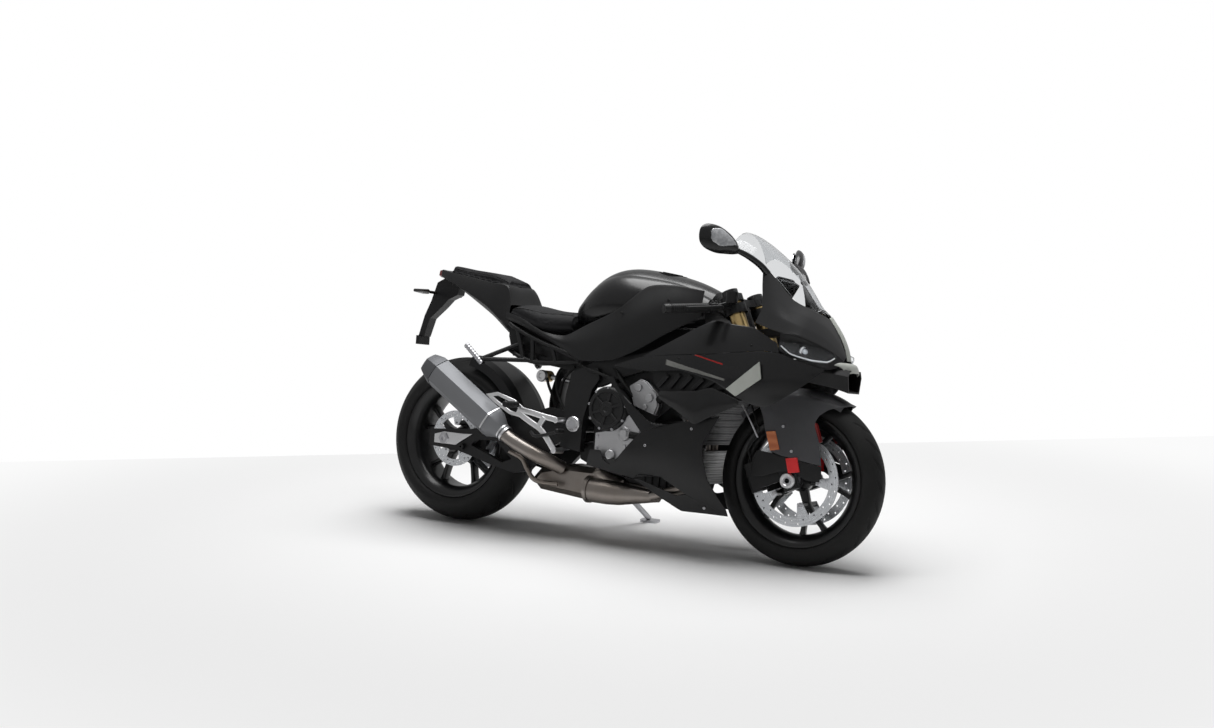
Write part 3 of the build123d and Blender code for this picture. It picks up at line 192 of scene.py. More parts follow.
def plain(dark, light, rough, vary, grain, grain_bump, patch=6.0):
    """Looks of a moulded or painted skin: slow colour drift, patchy gloss, fine grain."""

    def looks(wire, at):
        slow = noise(wire, at, patch, 4.0)
        fine = noise(wire, at, grain, 2.0)
        colour = mixed(wire, slow.above(0.5, 0.5), dark, light)
        sheen = rough + (slow - 0.5) * vary + (fine - 0.5) * vary * 0.5
        return {"Base Color": colour, "Roughness": sheen, "Normal": bumped(wire, fine, grain_bump)}

    return looks


def brushed(dark, light, rough, stretch, scale=60.0, bump=0.06, turn=(0, 0, 0)):
    """Looks of brushed or drawn metal: noise pulled out along one axis."""

    def looks(wire, at):
        grain = noise(wire, at, scale, 4.0, 0.6, stretch, turn)
        slow = noise(wire, at, 9.0, 3.0)
        colour = mixed(wire, grain * 0.6 + slow * 0.4, dark, light)
        return {
            "Base Color": colour,
            "Roughness": rough + (grain - 0.5) * 0.16 + (slow - 0.5) * 0.12,
            "Normal": bumped(wire, grain, bump),
        }

    return looks


def cast(dark, light, rough, bump=0.25, scale=420.0):
    """Looks of sand-cast metal: speckled grain with darker hollows."""

    def looks(wire, at):
        grain = noise(wire, at, scale, 3.0, 0.6)
        slow = noise(wire, at, 14.0, 4.0)
        colour = mixed(wire, grain * 0.5 + slow * 0.5, dark, light)
        return {
            "Base Color": colour,
            "Roughness": rough + (slow - 0.5) * 0.25,
            "Normal": bumped(wire, grain, bump),
        }

    return looks


def heated(wire, at):
    """Looks of a hot pipe: straw going to brown in slow patches, with drawn grain."""
    slow = noise(wire, at, 6.0, 3.0)
    grain = noise(wire, at, 190.0, 3.0)
    warm = mixed(wire, slow.above(0.5, 0.7), (0.26, 0.24, 0.225), (0.19, 0.16, 0.135))
    return {
        "Base Color": mixed(wire, grain * 0.35, warm, (0.32, 0.30, 0.285)),
        "Roughness": 0.34 + (slow - 0.5) * 0.2 + (grain - 0.5) * 0.08,
        "Normal": bumped(wire, grain, 0.04),
    }


def turned_steel(axle):
    """Looks of a ground disc: fine rings about the axle, with faint radial shading."""

    def looks(wire, at):
        x, _, z = upright(wire, at)
        dx = x - float(axle[0])
        dz = z - float(axle[2])
        radius = (dx * dx + dz * dz) ** 0.5
        ring = noise(wire, wire.node("CombineXYZ", {}, {0: radius}), 0.9, 3.0)
        slow = noise(wire, at, 16.0, 3.0)
        return {
            "Base Color": mixed(wire, ring, (0.66, 0.68, 0.71), (0.88, 0.90, 0.93)),
            "Roughness": 0.26 + (ring - 0.5) * 0.2 + (slow - 0.5) * 0.15,
            "Normal": bumped(wire, ring, 0.05),
        }

    return looks


def leather(wire, at):
    """Looks of seat cover: pebbled cells with dark creases."""
    cells = wire.node("TexVoronoi", {"feature": "SMOOTH_F1"}, {"Vector": at, "Scale": 520.0}, 0)
    slow = noise(wire, at, 8.0, 4.0)
    return {
        "Base Color": mixed(wire, slow, (0.009, 0.009, 0.010), (0.019, 0.019, 0.020)),
        "Roughness": 0.60 + (slow - 0.5) * 0.2 + cells * 0.1,
        "Normal": bumped(wire, cells, 0.25),
    }


def rubber(wire, at):
    """Looks of tyre rubber: dusty patches over fine grain."""
    slow = noise(wire, at, 7.0, 5.0)
    grain = noise(wire, at, 600.0, 2.0)
    return {
        "Base Color": mixed(wire, slow.above(0.55, 0.4), (0.006,) * 3, (0.012,) * 3),
        "Roughness": 0.62 + (slow - 0.5) * 0.25 + (grain - 0.5) * 0.1,
        "Normal": bumped(wire, grain, 0.18),
    }


def clear(dark, light):
    """Looks of a clear moulding: faint dust that dulls the gloss in patches."""

    def looks(wire, at):
        slow = noise(wire, at, 5.0, 4.0)
        return {
            "Base Color": mixed(wire, slow, dark, light),
            "Roughness": 0.02 + slow.above(0.62, 0.3) * 0.05,
        }

    return looks


def lens(inner, outer, pitch):
    """Looks of a coloured lens: fine moulded flutes."""

    def looks(wire, at):
        across = parts_of(wire, at)[1] * pitch
        flute = across.math("SINE", across) * 0.5 + 0.5
        slow = noise(wire, at, 20.0, 3.0)
        return {
            "Base Color": mixed(wire, flute * 0.7 + slow * 0.3, inner, outer),
            "Roughness": 0.10 + slow * 0.08,
            "Normal": bumped(wire, flute, 0.15),
        }

    return looks


def striped(wire, at):
    """Looks of the side panel: the dark skin with a pale wedge that narrows forward, and a thin red line."""
    looks = plain(*PANEL)(wire, at)
    x, _, z = upright(wire, at)
    worn = noise(wire, at, 34.0, 3.0)
    over = z - 666.0 + (x - 300.0) * 0.18 + (worn - 0.5) * 3.0
    under = over - (516.0 - x) * 0.05
    wedge = over.above(-2.0, 2.0) * (1.0 - under.above(5.0, 2.0)) * x.band(282.0, 516.0, 10.0)
    faded = worn * 0.4 + 0.5
    red = (z - 708.0 + (x - 394.0) * 0.24).band(-2.4, 2.4, 1.0) * x.band(392.0, 506.0, 3.0)
    pale = mixed(wire, wedge * faded, looks["Base Color"], (0.30, 0.30, 0.28))
    looks["Base Color"] = mixed(wire, red, pale, (0.42, 0.015, 0.012))
    return looks


def half_dark(base, side, level, soft=2.0):
    """Looks of bare metal that turns to black paint where a function of x, y and z is over a level."""

    def looks(wire, at):
        bare = base(wire, at)
        dark = side(*upright(wire, at)).above(level, soft)
        bare["Base Color"] = mixed(wire, dark, bare["Base Color"], (0.009, 0.009, 0.0095))
        bare["Metallic"] = 1.0 - dark
        return bare

    return looks


def rear_lens(wire, at):
    """Looks of the rear lamps: a dark red lens at the top, with smoked ones below it."""
    looks = lens((0.09, 0.003, 0.003), (0.17, 0.006, 0.005), FLUTES)(wire, at)
    high = upright(wire, at)[2]
    side = 1.0 - high.above(964.0, 2.0)
    looks["Base Color"] = mixed(wire, side, looks["Base Color"], (0.012, 0.010, 0.009))
    return looks


def finned(wire, at):
    """Looks of the coolers: fine upright fins between level tubes, the lower cooler bare and bright."""
    _, y, z = upright(wire, at)
    tubes = z * TUBE_PITCH
    fins = y * FIN_PITCH
    core = tubes.math("SINE", tubes) * 0.3 + fins.math("SINE", fins) * 0.2 + 0.5
    slow = noise(wire, at, 18.0, 3.0)
    dark = mixed(wire, core, (0.012, 0.012, 0.013), (0.075, 0.075, 0.078))
    pale = mixed(wire, core, (0.20, 0.20, 0.20), (0.46, 0.46, 0.46))
    return {
        "Base Color": mixed(wire, z.above(384.0, 4.0), pale, dark),
        "Roughness": 0.42 + (slow - 0.5) * 0.2,
        "Normal": bumped(wire, core, 0.4),
    }


def fork_high(x, y, z):
    """Height along the fork from the ground."""
    return z * math.cos(RAKE) - (x - FORK_FOOT_X) * math.sin(RAKE)


DULL = {"Specular_IOR_Level": 0.3}
PAINT = {"Coat_Weight": 0.2, "Coat_Roughness": 0.12, "Specular_IOR_Level": 0.3}
METAL = {"Metallic": 1.0}
PANEL = ((0.005, 0.005, 0.0055), (0.008, 0.008, 0.0085), 0.26, 0.08, 800, 0.03)
# columns: name, dark and light colour, roughness, its change, grain scale, grain bump, settings
PAINTED = [
    ("gloss_black", (0.006, 0.006, 0.007), (0.010, 0.010, 0.011), 0.30, 0.08, 700, 0.02,
     {"Coat_Weight": 0.35, "Coat_Roughness": 0.14}),
    ("satin_black", (0.006, 0.006, 0.0065), (0.010, 0.010, 0.0105), 0.40, 0.14, 900, 0.08, DULL),
    ("panel", *PANEL, PAINT),
    ("wheel_black", (0.006, 0.006, 0.0065), (0.010, 0.010, 0.0105), 0.30, 0.10, 800, 0.03,
     {**PAINT, "Coat_Roughness": 0.15}),
    # painted sheen: the fender's grey is lighter than the satin black panels, standing in for the broad sheen
    # on it
    ("guard", (0.062, 0.062, 0.066), (0.075, 0.075, 0.080), 0.48, 0.12, 900, 0.06, DULL),
    ("caliper_red", (0.16, 0.006, 0.006), (0.24, 0.010, 0.009), 0.36, 0.10, 500, 0.05, {"Coat_Weight": 0.3}),
    ("mark_red", (0.72, 0.020, 0.024), (0.82, 0.030, 0.034), 0.40, 0.10, 500, 0.03, {}),
    ("pale_grey", (0.42, 0.44, 0.40), (0.52, 0.54, 0.50), 0.34, 0.10, 700, 0.03, {"Coat_Weight": 0.3}),
    ("red_paint", (0.40, 0.012, 0.010), (0.55, 0.020, 0.016), 0.34, 0.10, 500, 0.05, {"Coat_Weight": 0.4}),
    ("projector", (0.50, 0.53, 0.56), (0.66, 0.69, 0.72), 0.06, 0.04, 400, 0.01, {"Coat_Weight": 1.0}),
    ("light_line", (0.78, 0.80, 0.82), (0.88, 0.90, 0.92), 0.3, 0.1, 400, 0.02, {}),
    ("dash_glass", (0.012, 0.014, 0.017), (0.018, 0.020, 0.024), 0.08, 0.03, 300, 0.0, {"Coat_Weight": 1.0}),
    ("mirror_glass", (0.66, 0.68, 0.70), (0.72, 0.74, 0.76), 0.03, 0.02, 300, 0.0, METAL),
]
for name, *look, settings in PAINTED:
    material(name, plain(*look), **settings)
FLASHER_PATCH = 60.0
flecked = plain((0.34, 0.35, 0.37), (0.62, 0.63, 0.65), 0.30, 0.10, 260, 0.10, FLASHER_PATCH)
material("flasher", flecked, Coat_Weight=0.5)
material("side_panel", striped, **PAINT)
material("black_metal", cast((0.007, 0.007, 0.0075), (0.014, 0.014, 0.0145), 0.42, 0.10), **DULL)
material("engine_black", cast((0.008, 0.008, 0.0085), (0.017, 0.017, 0.0175), 0.46, 0.22), **DULL)
material("cast_metal", cast((0.34, 0.34, 0.35), (0.56, 0.56, 0.57), 0.42, 0.25), **METAL)
material("front_steel", turned_steel(FRONT_AXLE), Metallic=0.55)
material("rear_steel", turned_steel(REAR_AXLE), Metallic=0.55)
material("steel", brushed((0.40, 0.40, 0.42), (0.56, 0.56, 0.58), 0.34, (1, 6, 1), 160.0, 0.03), **METAL)
material("aluminium", brushed((0.62, 0.62, 0.63), (0.76, 0.76, 0.77), 0.32, (1, 1, 5), 160.0, 0.03), **METAL)
anodised = brushed((0.50, 0.35, 0.15), (0.66, 0.49, 0.23), 0.30, (1, 1, 8), 120.0, 0.03)
material("gold", anodised, **METAL)
material("fork_gold", half_dark(anodised, fork_high, 985.0, 1.5))
material("exhaust", heated, **METAL)
can_grain = ((1, 8, 1), 140.0, 0.03)
material("silencer", brushed((0.19, 0.195, 0.205), (0.25, 0.255, 0.265), 0.62, *can_grain), Metallic=0.8)
# painted shade: the end cap's finish is a darker copy of the can's, so its top shows less of the overhead
# light
material("silencer_end_painted_shade", brushed((0.11, 0.113, 0.12), (0.15, 0.153, 0.16), 0.62, *can_grain), Metallic=0.9)
material("leather", leather, Specular_IOR_Level=0.12)
material("rubber", rubber, Specular_IOR_Level=0.25)
material("screen", clear((0.66, 0.67, 0.68), (0.74, 0.75, 0.76)), Transmission_Weight=1.0, IOR=1.12)
material("lamp", clear((0.86, 0.88, 0.90), (0.95, 0.96, 0.97)), Transmission_Weight=1.0, IOR=1.2)
material("rear_lens", rear_lens, Coat_Weight=0.5)
material("amber_lens", lens((0.50, 0.12, 0.03), (0.66, 0.20, 0.06), FLUTES), Coat_Weight=0.4)
material("core", finned, Metallic=0.7)

# Finish of each part
FINISH = {
    "gloss_black": "front_cowl mirrors",
    "panel": "fuel_tank",
    "satin_black": "side_covers tail_fairing plate_holder belly_fairings nose_intake rear_hugger brake_hoses "
                   "handlebars fairing_stay chain",
    "guard": "front_fender",
    "side_panel": "side_fairings",
    "black_metal": "main_frame swingarm subframe fork_clamps fork_feet rear_caliper engine_covers "
                   "front_calipers fuel_cap silencer_caps",
    "engine_black": "engine_block",
    "wheel_black": "front_rim rear_rim",
    "front_steel": "front_discs",
    "rear_steel": "rear_disc",
    "steel": "front_axle frame_axles side_stand",
    "aluminium": "footrests",
    "cast_metal": "crankcase_cover",
    "fork_gold": "fork_tubes",
    "exhaust": "exhaust_pipes",
    "silencer": "silencer",
    "leather": "rider_seat pillion_seat",
    "rubber": "front_tyre rear_tyre",
    "screen": "windscreen",
    "lamp": "headlights",
    "rear_lens": "rear_lamps",
    "pale_grey": "winglets",
    "red_paint": "shock",
    "core": "coolers",
}
for finish, nodes in FINISH.items():
    for node in nodes.split():
        mesh = frame["nodes"][node].data
        mesh.materials.clear()
        mesh.materials.append(MADE[finish])


# Surfaces: each is (points, faces) in upright millimetres
def grid_of(x, y, z):
    """Points from three arrays or numbers that spread over one shape."""
    return np.stack(np.broadcast_arrays(x, y, z), -1)


def full_turn(count):
    """Even angles of one whole turn, the last a step short of the first."""
    return np.linspace(0, 2 * np.pi, count, endpoint=False)


def normed(ways):
    """Vectors scaled to a length of 1."""
    ways = np.asarray(ways, float)
    return ways / np.linalg.norm(ways, axis=-1, keepdims=True)


def six_sided(turn):
    """Radius at each angle of a hexagon whose corners lie on the unit circle."""
    return math.cos(math.pi / 6) / np.cos((turn + np.pi / 6) % (np.pi / 3) - np.pi / 6)


def curve(points, count, tension=0.0, closed=False):
    """Catmull-Rom curve through points of any trailing shape, evenly in its parameter: each span is the cubic
    whose end slopes run between its neighbours, pulled towards the straight chord by the tension."""
    p = np.asarray(points, float)
    n = len(p)
    t = np.linspace(0, n if closed else n - 1, count, endpoint=not closed)
    i = np.minimum(t.astype(int), n - 1 if closed else n - 2)
    f = (t - i).reshape((-1,) + (1,) * (p.ndim - 1))
    if closed:
        a, b, c, d = (p[(i + k) % n] for k in (-1, 0, 1, 2))
    else:
        q = np.concatenate([[2 * p[0] - p[1]], p, [2 * p[-1] - p[-2]]])
        a, b, c, d = (q[i + k] for k in (0, 1, 2, 3))
    smooth = b + f * ((c - a) + f * ((2 * a - 5 * b + 4 * c - d) + f * (3 * b - 3 * c + d - a))) / 2
    return (1 - tension) * smooth + tension * (b + f * (c - b))


def spline(knots, values, at):
    """Natural cubic spline of values over knots; one linear system gives its second slopes."""
    x = np.asarray(knots, float)
    y = np.asarray(values, float)
    n = len(x)
    h = np.diff(x)
    system = np.eye(n)
    right = np.zeros_like(y)
    k = np.arange(1, n - 1)
    system[k, k - 1] = h[:-1]
    system[k, k] = 2 * (h[:-1] + h[1:])
    system[k, k + 1] = h[1:]
    shape = (-1,) + (1,) * (y.ndim - 1)
    slope = np.diff(y, axis=0) / h.reshape(shape)
    right[1:-1] = 6 * np.diff(slope, axis=0)
    bend = np.linalg.solve(system, right.reshape(n, -1)).reshape(y.shape)
    at = np.clip(at, x[0], x[-1])
    i = np.clip(np.searchsorted(x, at, "right") - 1, 0, n - 2)
    b = at - x[i]
    a = x[i + 1] - at
    if y.ndim == 1:
        y0, y1, m0, m1 = y[i], y[i + 1], bend[i], bend[i + 1]
    else:
        each = np.arange(y.shape[1])
        y0, y1, m0, m1 = y[i, each], y[i + 1, each], bend[i, each], bend[i + 1, each]
    w = h[i]
    return (m0 * a ** 3 + m1 * b ** 3) / (6 * w) + (y0 / w - m0 * w / 6) * a + (y1 / w - m1 * w / 6) * b


def half_width(table, x, z):
    """Half width at each (x, z): a spline up each station of the table, then a spline along the stations."""
    flat_x = np.ravel(x)
    flat_z = np.ravel(z)
    rows = [spline([c[0] for c in row[1:]], [c[1] for c in row[1:]], flat_z) for row in table]
    return spline([row[0] for row in table], np.array(rows), flat_x).reshape(np.shape(x))


def surface(points, wrap_u=False, wrap_v=False, capped=False):
    """Quads on an n by m grid of points; wrapped directions close on themselves, caps close tube ends."""
    n, m = points.shape[:2]
    i = np.arange(n if wrap_u else n - 1)[:, None]
    j = np.arange(m if wrap_v else m - 1)[None, :]
    up = (i + 1) % n
    over = (j + 1) % m
    corners = np.stack(np.broadcast_arrays(i * m + j, up * m + j, up * m + over, i * m + over), -1)
    faces = corners.reshape(-1, 4).tolist()
    if capped:
        faces.append(list(range(m))[::-1])
        faces.append(list(range((n - 1) * m, n * m)))
    return points.reshape(-1, 3), faces


def merged(*surfaces):
    """Several surfaces as one."""
    starts = np.cumsum([0] + [len(p) for p, _ in surfaces])
    faces = [[v + int(s) for v in face] for s, (_, group) in zip(starts, surfaces) for face in group]
    return np.concatenate([p for p, _ in surfaces]), faces


def mirrored(shape):
    """A right-hand surface with its left-hand twin."""
    points, faces = shape
    return merged(shape, (points * (1, -1, 1), [face[::-1] for face in faces]))


def repeated(shape, turns, places):
    """Copies of a surface, each turned by its own 3 by 3 matrix and moved to its own place."""
    points, faces = shape
    turns = np.asarray(turns, float)
    many = np.einsum("nij,kj->nki", turns, points) + np.asarray(places, float)[:, None, :]
    return merged(*[(p, faces) for p in many])


def facing(ways):
    """Turning matrices whose third column is each unit way, with any level first column."""
    w = normed(ways)
    side = np.where(np.abs(w[:, :1]) > 0.9, np.array([[0.0, 1.0, 0.0]]), np.array([[1.0, 0.0, 0.0]]))
    u = normed(np.cross(side, w))
    return np.stack([np.cross(u, w), u, w], -1)


def lathe(profile, axle, count, wave=None):
    """Profile of (lateral, radius) turned about an axle; wave adds to the radius by angle and place."""
    p = np.asarray(profile, float)
    angle = full_turn(count)[:, None]
    radius = p[None, :, 1] + (0 if wave is None else wave(angle, p[None, :, 0]))
    return grid_of(radius * np.cos(angle), p[:, 0], radius * np.sin(angle)) + np.asarray(axle, float)


def unit(turn):
    """Points of the unit circle, one for each angle."""
    return np.stack([np.cos(turn), np.sin(turn)], -1)


def arc(a, b, c, count):
    """Points evenly round the circle through three plane points, from a by b to c."""
    a, b, c = (np.asarray(p, float) for p in (a, b, c))
    left = 2 * np.array([b - a, c - a])
    centre = np.linalg.solve(left, [b @ b - a @ a, c @ c - a @ a])
    start, mid, end = (math.atan2(*(p - centre)[::-1]) for p in (a, b, c))
    sweep = (end - start) % (2 * math.pi)
    if (mid - start) % (2 * math.pi) > sweep:
        sweep -= 2 * math.pi
    turn = start + sweep * np.linspace(0, 1, count)
    size = np.linalg.norm(a - centre)
    return centre + size * unit(turn)


def squared(turn, power):
    """Cosine and sine of each angle, their size raised to a power, so that a circle goes square below 1."""
    return [np.sign(wave) * np.abs(wave) ** power for wave in (np.cos(turn), np.sin(turn))]


def tube(path, radius, sides=16, up=(0, 0, 1), flat=1.0, square=1.0, capped=True):
    """Round, oval or squared profile along a path: at each point the ring lies in the plane across the path,
    with radius and flatness that may vary, and corners drawn out as the squareness goes below 1."""
    p = np.asarray(path, float)
    along = normed(np.gradient(p, axis=0))
    first = normed(np.cross(np.broadcast_to(np.asarray(up, float), p.shape), along))
    second = np.cross(along, first)
    c, s = squared(full_turn(sides), square)
    r = np.broadcast_to(np.asarray(radius, float), len(p))[:, None, None]
    k = np.broadcast_to(np.asarray(flat, float), len(p))[:, None, None]
    ring = c[None, :, None] * first[:, None, :] + k * s[None, :, None] * second[:, None, :]
    return surface(p[:, None, :] + r * ring, wrap_v=True, capped=capped)


def coons(bottom, top, left, right, across, up, tension=0.5):
    """Grid filling four edge curves: the two ruled fills added, less the fill of their four corners."""
    b = curve(bottom, across, tension)[:, None, :]
    t = curve(top, across, tension)[:, None, :]
    l = curve(left, up, tension)[None, :, :]
    r = curve(right, up, tension)[None, :, :]
    u = np.linspace(0, 1, across)[:, None, None]
    v = np.linspace(0, 1, up)[None, :, None]
    corners = (1 - u) * ((1 - v) * b[:1] + v * t[:1]) + u * ((1 - v) * b[-1:] + v * t[-1:])
    return (1 - v) * b + v * t + (1 - u) * l + u * r - corners


def skin(edges, table, across=48, up=24, tension=0.5, lift=0.0):
    """Right-hand panel over a four-edged outline in (x, z), bulged out to the table's half width."""
    flat = coons(*edges, across, up, tension)
    wide = half_width(table, flat[..., 0], flat[..., 1]) + lift
    return surface(grid_of(flat[..., 0], -wide, flat[..., 1]))


def bolts(places, ways, radius=4.5, height=4.0, sides=24):
    """Socket-head bolts: a turned head with a rounded rim and a six-sided recess."""
    turn = full_turn(sides)[:, None]
    hexagon = 0.5 * radius * six_sided(turn)
    rim = np.array([1.0, 1.0, 0.92, 0.8]) * radius
    high = np.array([-1.0, 0.75, 0.95, 1.0, 1.0, 0.4]) * height
    wide = np.concatenate([np.broadcast_to(rim, (sides, len(rim))), hexagon, hexagon], 1)
    points = grid_of(wide * np.cos(turn), wide * np.sin(turn), high)
    head = surface(np.swapaxes(points, 0, 1), wrap_v=True, capped=True)
    return repeated(head, facing(np.broadcast_to(np.asarray(ways, float), np.shape(places))), places)


def patch(net, across, up, tension=(0.0, 0.0)):
    """Sheet through a net of (x, half width, z): curves along the net, then across it, on the right."""
    rows = curve(np.asarray(net, float), across, tension[0])
    grid = np.swapaxes(curve(np.swapaxes(rows, 0, 1), up, tension[1]), 0, 1)
    return surface(grid * (1, -1, 1))


def at_lateral(outline, y):
    """Outline in (x, z) as points at one lateral place."""
    p = np.asarray(outline, float)
    return grid_of(p[:, 0], y, p[:, 1])


def plate(outline, near, far):
    """Flat plate: an outline in (x, z) drawn out from one lateral place to another."""
    return surface(np.stack([at_lateral(outline, y) for y in (near, far)]), wrap_v=True, capped=True)


def spun(profile, at, count=48, wave=None):
    """Closed round body about a lateral axis from a profile of (lateral, radius)."""
    return surface(lathe(profile, at, count, wave), wrap_u=True)


def button(profile, count=32):
    """Round body about its own z axis from a profile of (radius, height)."""
    wide, high = np.array(profile, float).T
    turn = full_turn(count)[:, None]
    return surface(grid_of(wide * np.cos(turn), wide * np.sin(turn), high), wrap_u=True)


def stem(start, way, stations, sides=32):
    """Round bar along a way from a start: stations of (distance, radius)."""
    s, r = np.array(stations, float).T
    way = normed(way)
    up = (1, 0, 0) if abs(way[0]) < 0.8 else (0, 1, 0)
    return tube(np.asarray(start, float) + s[:, None] * way, r, sides, up)


def open_plate(outer, inner, near, far):
    """Flat plate with one opening: the two loops have as many points, joined across both faces."""
    loops = [(outer, near), (outer, far), (inner, far), (inner, near)]
    return surface(np.stack([at_lateral(p, y) for p, y in loops]), wrap_u=True, wrap_v=True)


def ribbed(start, way, long, radius, count):
    """Round bar with even grooves: the radius dips at each groove along the bar."""
    s = np.linspace(0, long, 6 * count + 1)
    r = radius - 0.09 * radius * (np.cos(2 * np.pi * s / long * count) > 0.4)
    r[[0, -1]] *= 0.86
    return stem(start, way, np.stack([s, r], -1), 24)


def rounded_box(wide, tall, low, high, power=0.22, sides=64):
    """Squared pad with a soft rim: superellipse outline drawn out along its own z axis."""
    c, s = squared(full_turn(sides), power)
    rows = [(0.97, low), (1.0, low + 1.5), (1.0, high - 1.5), (0.97, high)]
    points = [grid_of(k * tall / 2 * s, k * wide / 2 * c, h) for k, h in rows]
    return surface(np.stack(points), wrap_v=True, capped=True)


def pipe(path, radius, sides=16, count=32):
    """Round tube of even radius along the curve through a few points."""
    return tube(curve(path, count), radius, sides)


def both_ways(half):
    """Profile of (lateral, radius) carried on to the other side of the centre plane."""
    return half + [(-y, r) for y, r in half[::-1]]


def lateral_turns(angles):
    """Turning matrices about the lateral axis, one for each angle: x goes towards z."""
    c = np.cos(angles)
    s = np.sin(angles)
    nil = np.zeros_like(c)
    rows = [(c, nil, -s), (nil, nil + 1, nil), (s, nil, c)]
    return np.stack([np.stack(row, -1) for row in rows], 1)


def ring_of(centre, radius, angles):
    """Points round a lateral axis, one for each angle."""
    return np.asarray(centre, float) + radius * grid_of(np.cos(angles), 0.0, np.sin(angles))


def added(name, data):
    """A new object in the scene around its data."""
    thing = bpy.data.objects.new(name, data)
    bpy.context.collection.objects.link(thing)
    return thing


def cleaned(mesh, gap, outward=True):
    """Merge a mesh's doubled points and turn its faces outward."""
    work = bmesh.new()
    work.from_mesh(mesh)
    bmesh.ops.remove_doubles(work, verts=work.verts, dist=gap)
    if outward:
        bmesh.ops.recalc_face_normals(work, faces=work.faces)
    work.to_mesh(mesh)
    work.free()


def make(name, shape, finish, body="frame", slot="", stands_for=(), wall=0.0, round_off=0.0, sharp=35.0,
         closed=True):
    """A finished object: leaned into the row frame, closed ones turned outward, riding its body. The slot
    argument is not used."""
    points, faces = shape
    mesh = bpy.data.meshes.new(name)
    mesh.from_pydata(placed(points).tolist(), [], faces)
    cleaned(mesh, 1e-6, closed)
    mesh.shade_smooth()
    mesh.set_sharp_from_angle(angle=math.radians(sharp))
    mesh.materials.append(MADE[finish])
    thing = added(name, mesh)
    if wall:
        shell = thing.modifiers.new("wall", "SOLIDIFY")
        shell.thickness = wall / 1000
        shell.offset = -1.0
    if round_off:
        edge = thing.modifiers.new("edge", "BEVEL")
        edge.width = round_off / 1000
        edge.segments = 2
        edge.limit_method = "ANGLE"
        edge.angle_limit = BEVEL_OVER
    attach(thing, body)
    if stands_for:
        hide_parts(*stands_for)
    return thing


# Tyres
# columns: node, body, axle, half width, outer radius, bead half width, shoulder radius, grooves round
TYRES = [
    ("front_tyre", "front_wheel", FRONT_AXLE, 60.0, 300.0, 44.5, 258.0, 26),
    ("rear_tyre", "rear_wheel", REAR_AXLE, 98.0, 326.0, 76.5, 268.0, 22),
]
BEAD_R = 218.3
GROOVE_DEEP = 2.6
TREAD_STEPS = 980


def tread(half, radius, around):
    """Radius change of the tread: slanted grooves and short cuts between them, on alternate sides."""

    def wave(angle, lateral):
        w = np.abs(lateral) / half
        turns = angle * around / (2 * np.pi) + np.where(lateral > 0, 0.5, 0.0)
        pitch = 2 * np.pi * radius / around
        total = 0
        # columns: place in the pitch, slant, from, to, half width in mm
        for place, slant, start, end, wide in ((0.0, 1.5, 0.10, 0.66, 3.4), (0.45, 2.1, 0.34, 0.70, 2.6)):
            off = np.abs((turns + place - slant * w) % 1 - 0.5) * pitch
            inside = np.clip((w - start) / 0.05, 0, 1) * np.clip((end - w) / 0.05, 0, 1)
            total = np.maximum(total, np.clip(wide + 1 - off, 0, 1) * inside)
        return -GROOVE_DEEP * total

    return wave


for node, body, axle, half, radius, bead, shoulder, around in TYRES:
    flank = arc((bead, BEAD_R + 15), (half - 1, (shoulder + BEAD_R) / 2 + 6), (half, shoulder), 16)
    flank[:, 0] += 0.9 * np.exp(-((flank[:, 1] - BEAD_R - 24) / 2.5) ** 2)
    crown = arc((half, shoulder), (0, radius), (-half, shoulder), 65)
    under = np.array([(-bead, BEAD_R), (10 - bead, BEAD_R), (bead - 10, BEAD_R), (bead, BEAD_R)])
    profile = np.concatenate([flank[:-1], crown, (flank * (-1, 1))[::-1][1:], under])
    rings = lathe(profile, axle, TREAD_STEPS, tread(half, radius, around))
    make(node + "_tread", surface(rings, True, True), "rubber", body, "tyre", [node], sharp=50)

# Wheels: barrel, hub and five forked spokes
# columns: node, body, axle, flange half width, bead half width, hub radius, hub half length, bore,
# spoke half depth, first spoke angle, disc posts (right tip, left tip, circle radius)
WHEELS = [
    ("front_rim", "front_wheel", FRONT_AXLE, 52, 45, 36, 56, 12.55, 15, 0, (63.7, 63.7, 88)),
    ("rear_rim", "rear_wheel", REAR_AXLE, 86, 77, 44, 62, 14.05, 22, 14, (68.7, 106.7, 62)),
]
for node, body, axle, flange, seat, hub_r, hub_half, bore, deep, first, (tip_r, tip_l, post_at) in WHEELS:
    outer = both_ways([(-flange, 231), (1 - flange, 233), (-seat - 3, 233), (-seat, 219), (14 - seat, 216),
                       (26 - seat, 200)])
    inner = both_ways([(flange, 228), (flange - 2, 221), (seat - 5, 207), (seat - 22, 192), (seat - 40, 189)])
    barrel = surface(lathe(outer + inner, axle, 192), True, True)
    turned_hub = both_ways([(hub_half, bore), (hub_half, hub_r - 10), (hub_half - 3, hub_r - 7),
                            (deep + 6, hub_r), (deep, hub_r + 4)])
    hub = surface(lathe(turned_hub, axle, 72), True, True)
    trunk = curve([(hub_r - 10, 0, 0), (62, 0, 0), (104, 0, 0)], 12)
    wide = np.linspace(17, 12, 12)
    arms = [tube(trunk, wide, 20, (0, 1, 0), deep / wide, 0.45)]
    for s in (1, -1):
        fork = curve([(80, 0, s * 2), (116, 0, s * 12), (158, 0, s * 29), (195, 0, s * 46)], 20, 0.2)
        wide = np.interp(np.linspace(0, 1, 20), (0, 0.3, 0.8, 1), (10, 8, 8.5, 13))
        arms.append(tube(fork, wide, 20, (0, 1, 0), (deep - 2) / wide, 0.45))
    spin = lateral_turns(np.radians(first + 72 * np.arange(5)))
    spokes = repeated(merged(*arms), spin, np.broadcast_to(axle, (5, 3)))
    posts = [tube([(post_at, s * (deep - 4), 0), (post_at, s * tip, 0)], 10, 20, (1, 0, 0))
             for s, tip in ((-1, tip_r), (1, tip_l))]
    lugs = repeated(merged(*posts), spin, np.broadcast_to(axle, (5, 3)))
    make(node + "_cast", merged(barrel, hub, spokes, lugs), "wheel_black", body, "wheel_black", [node])

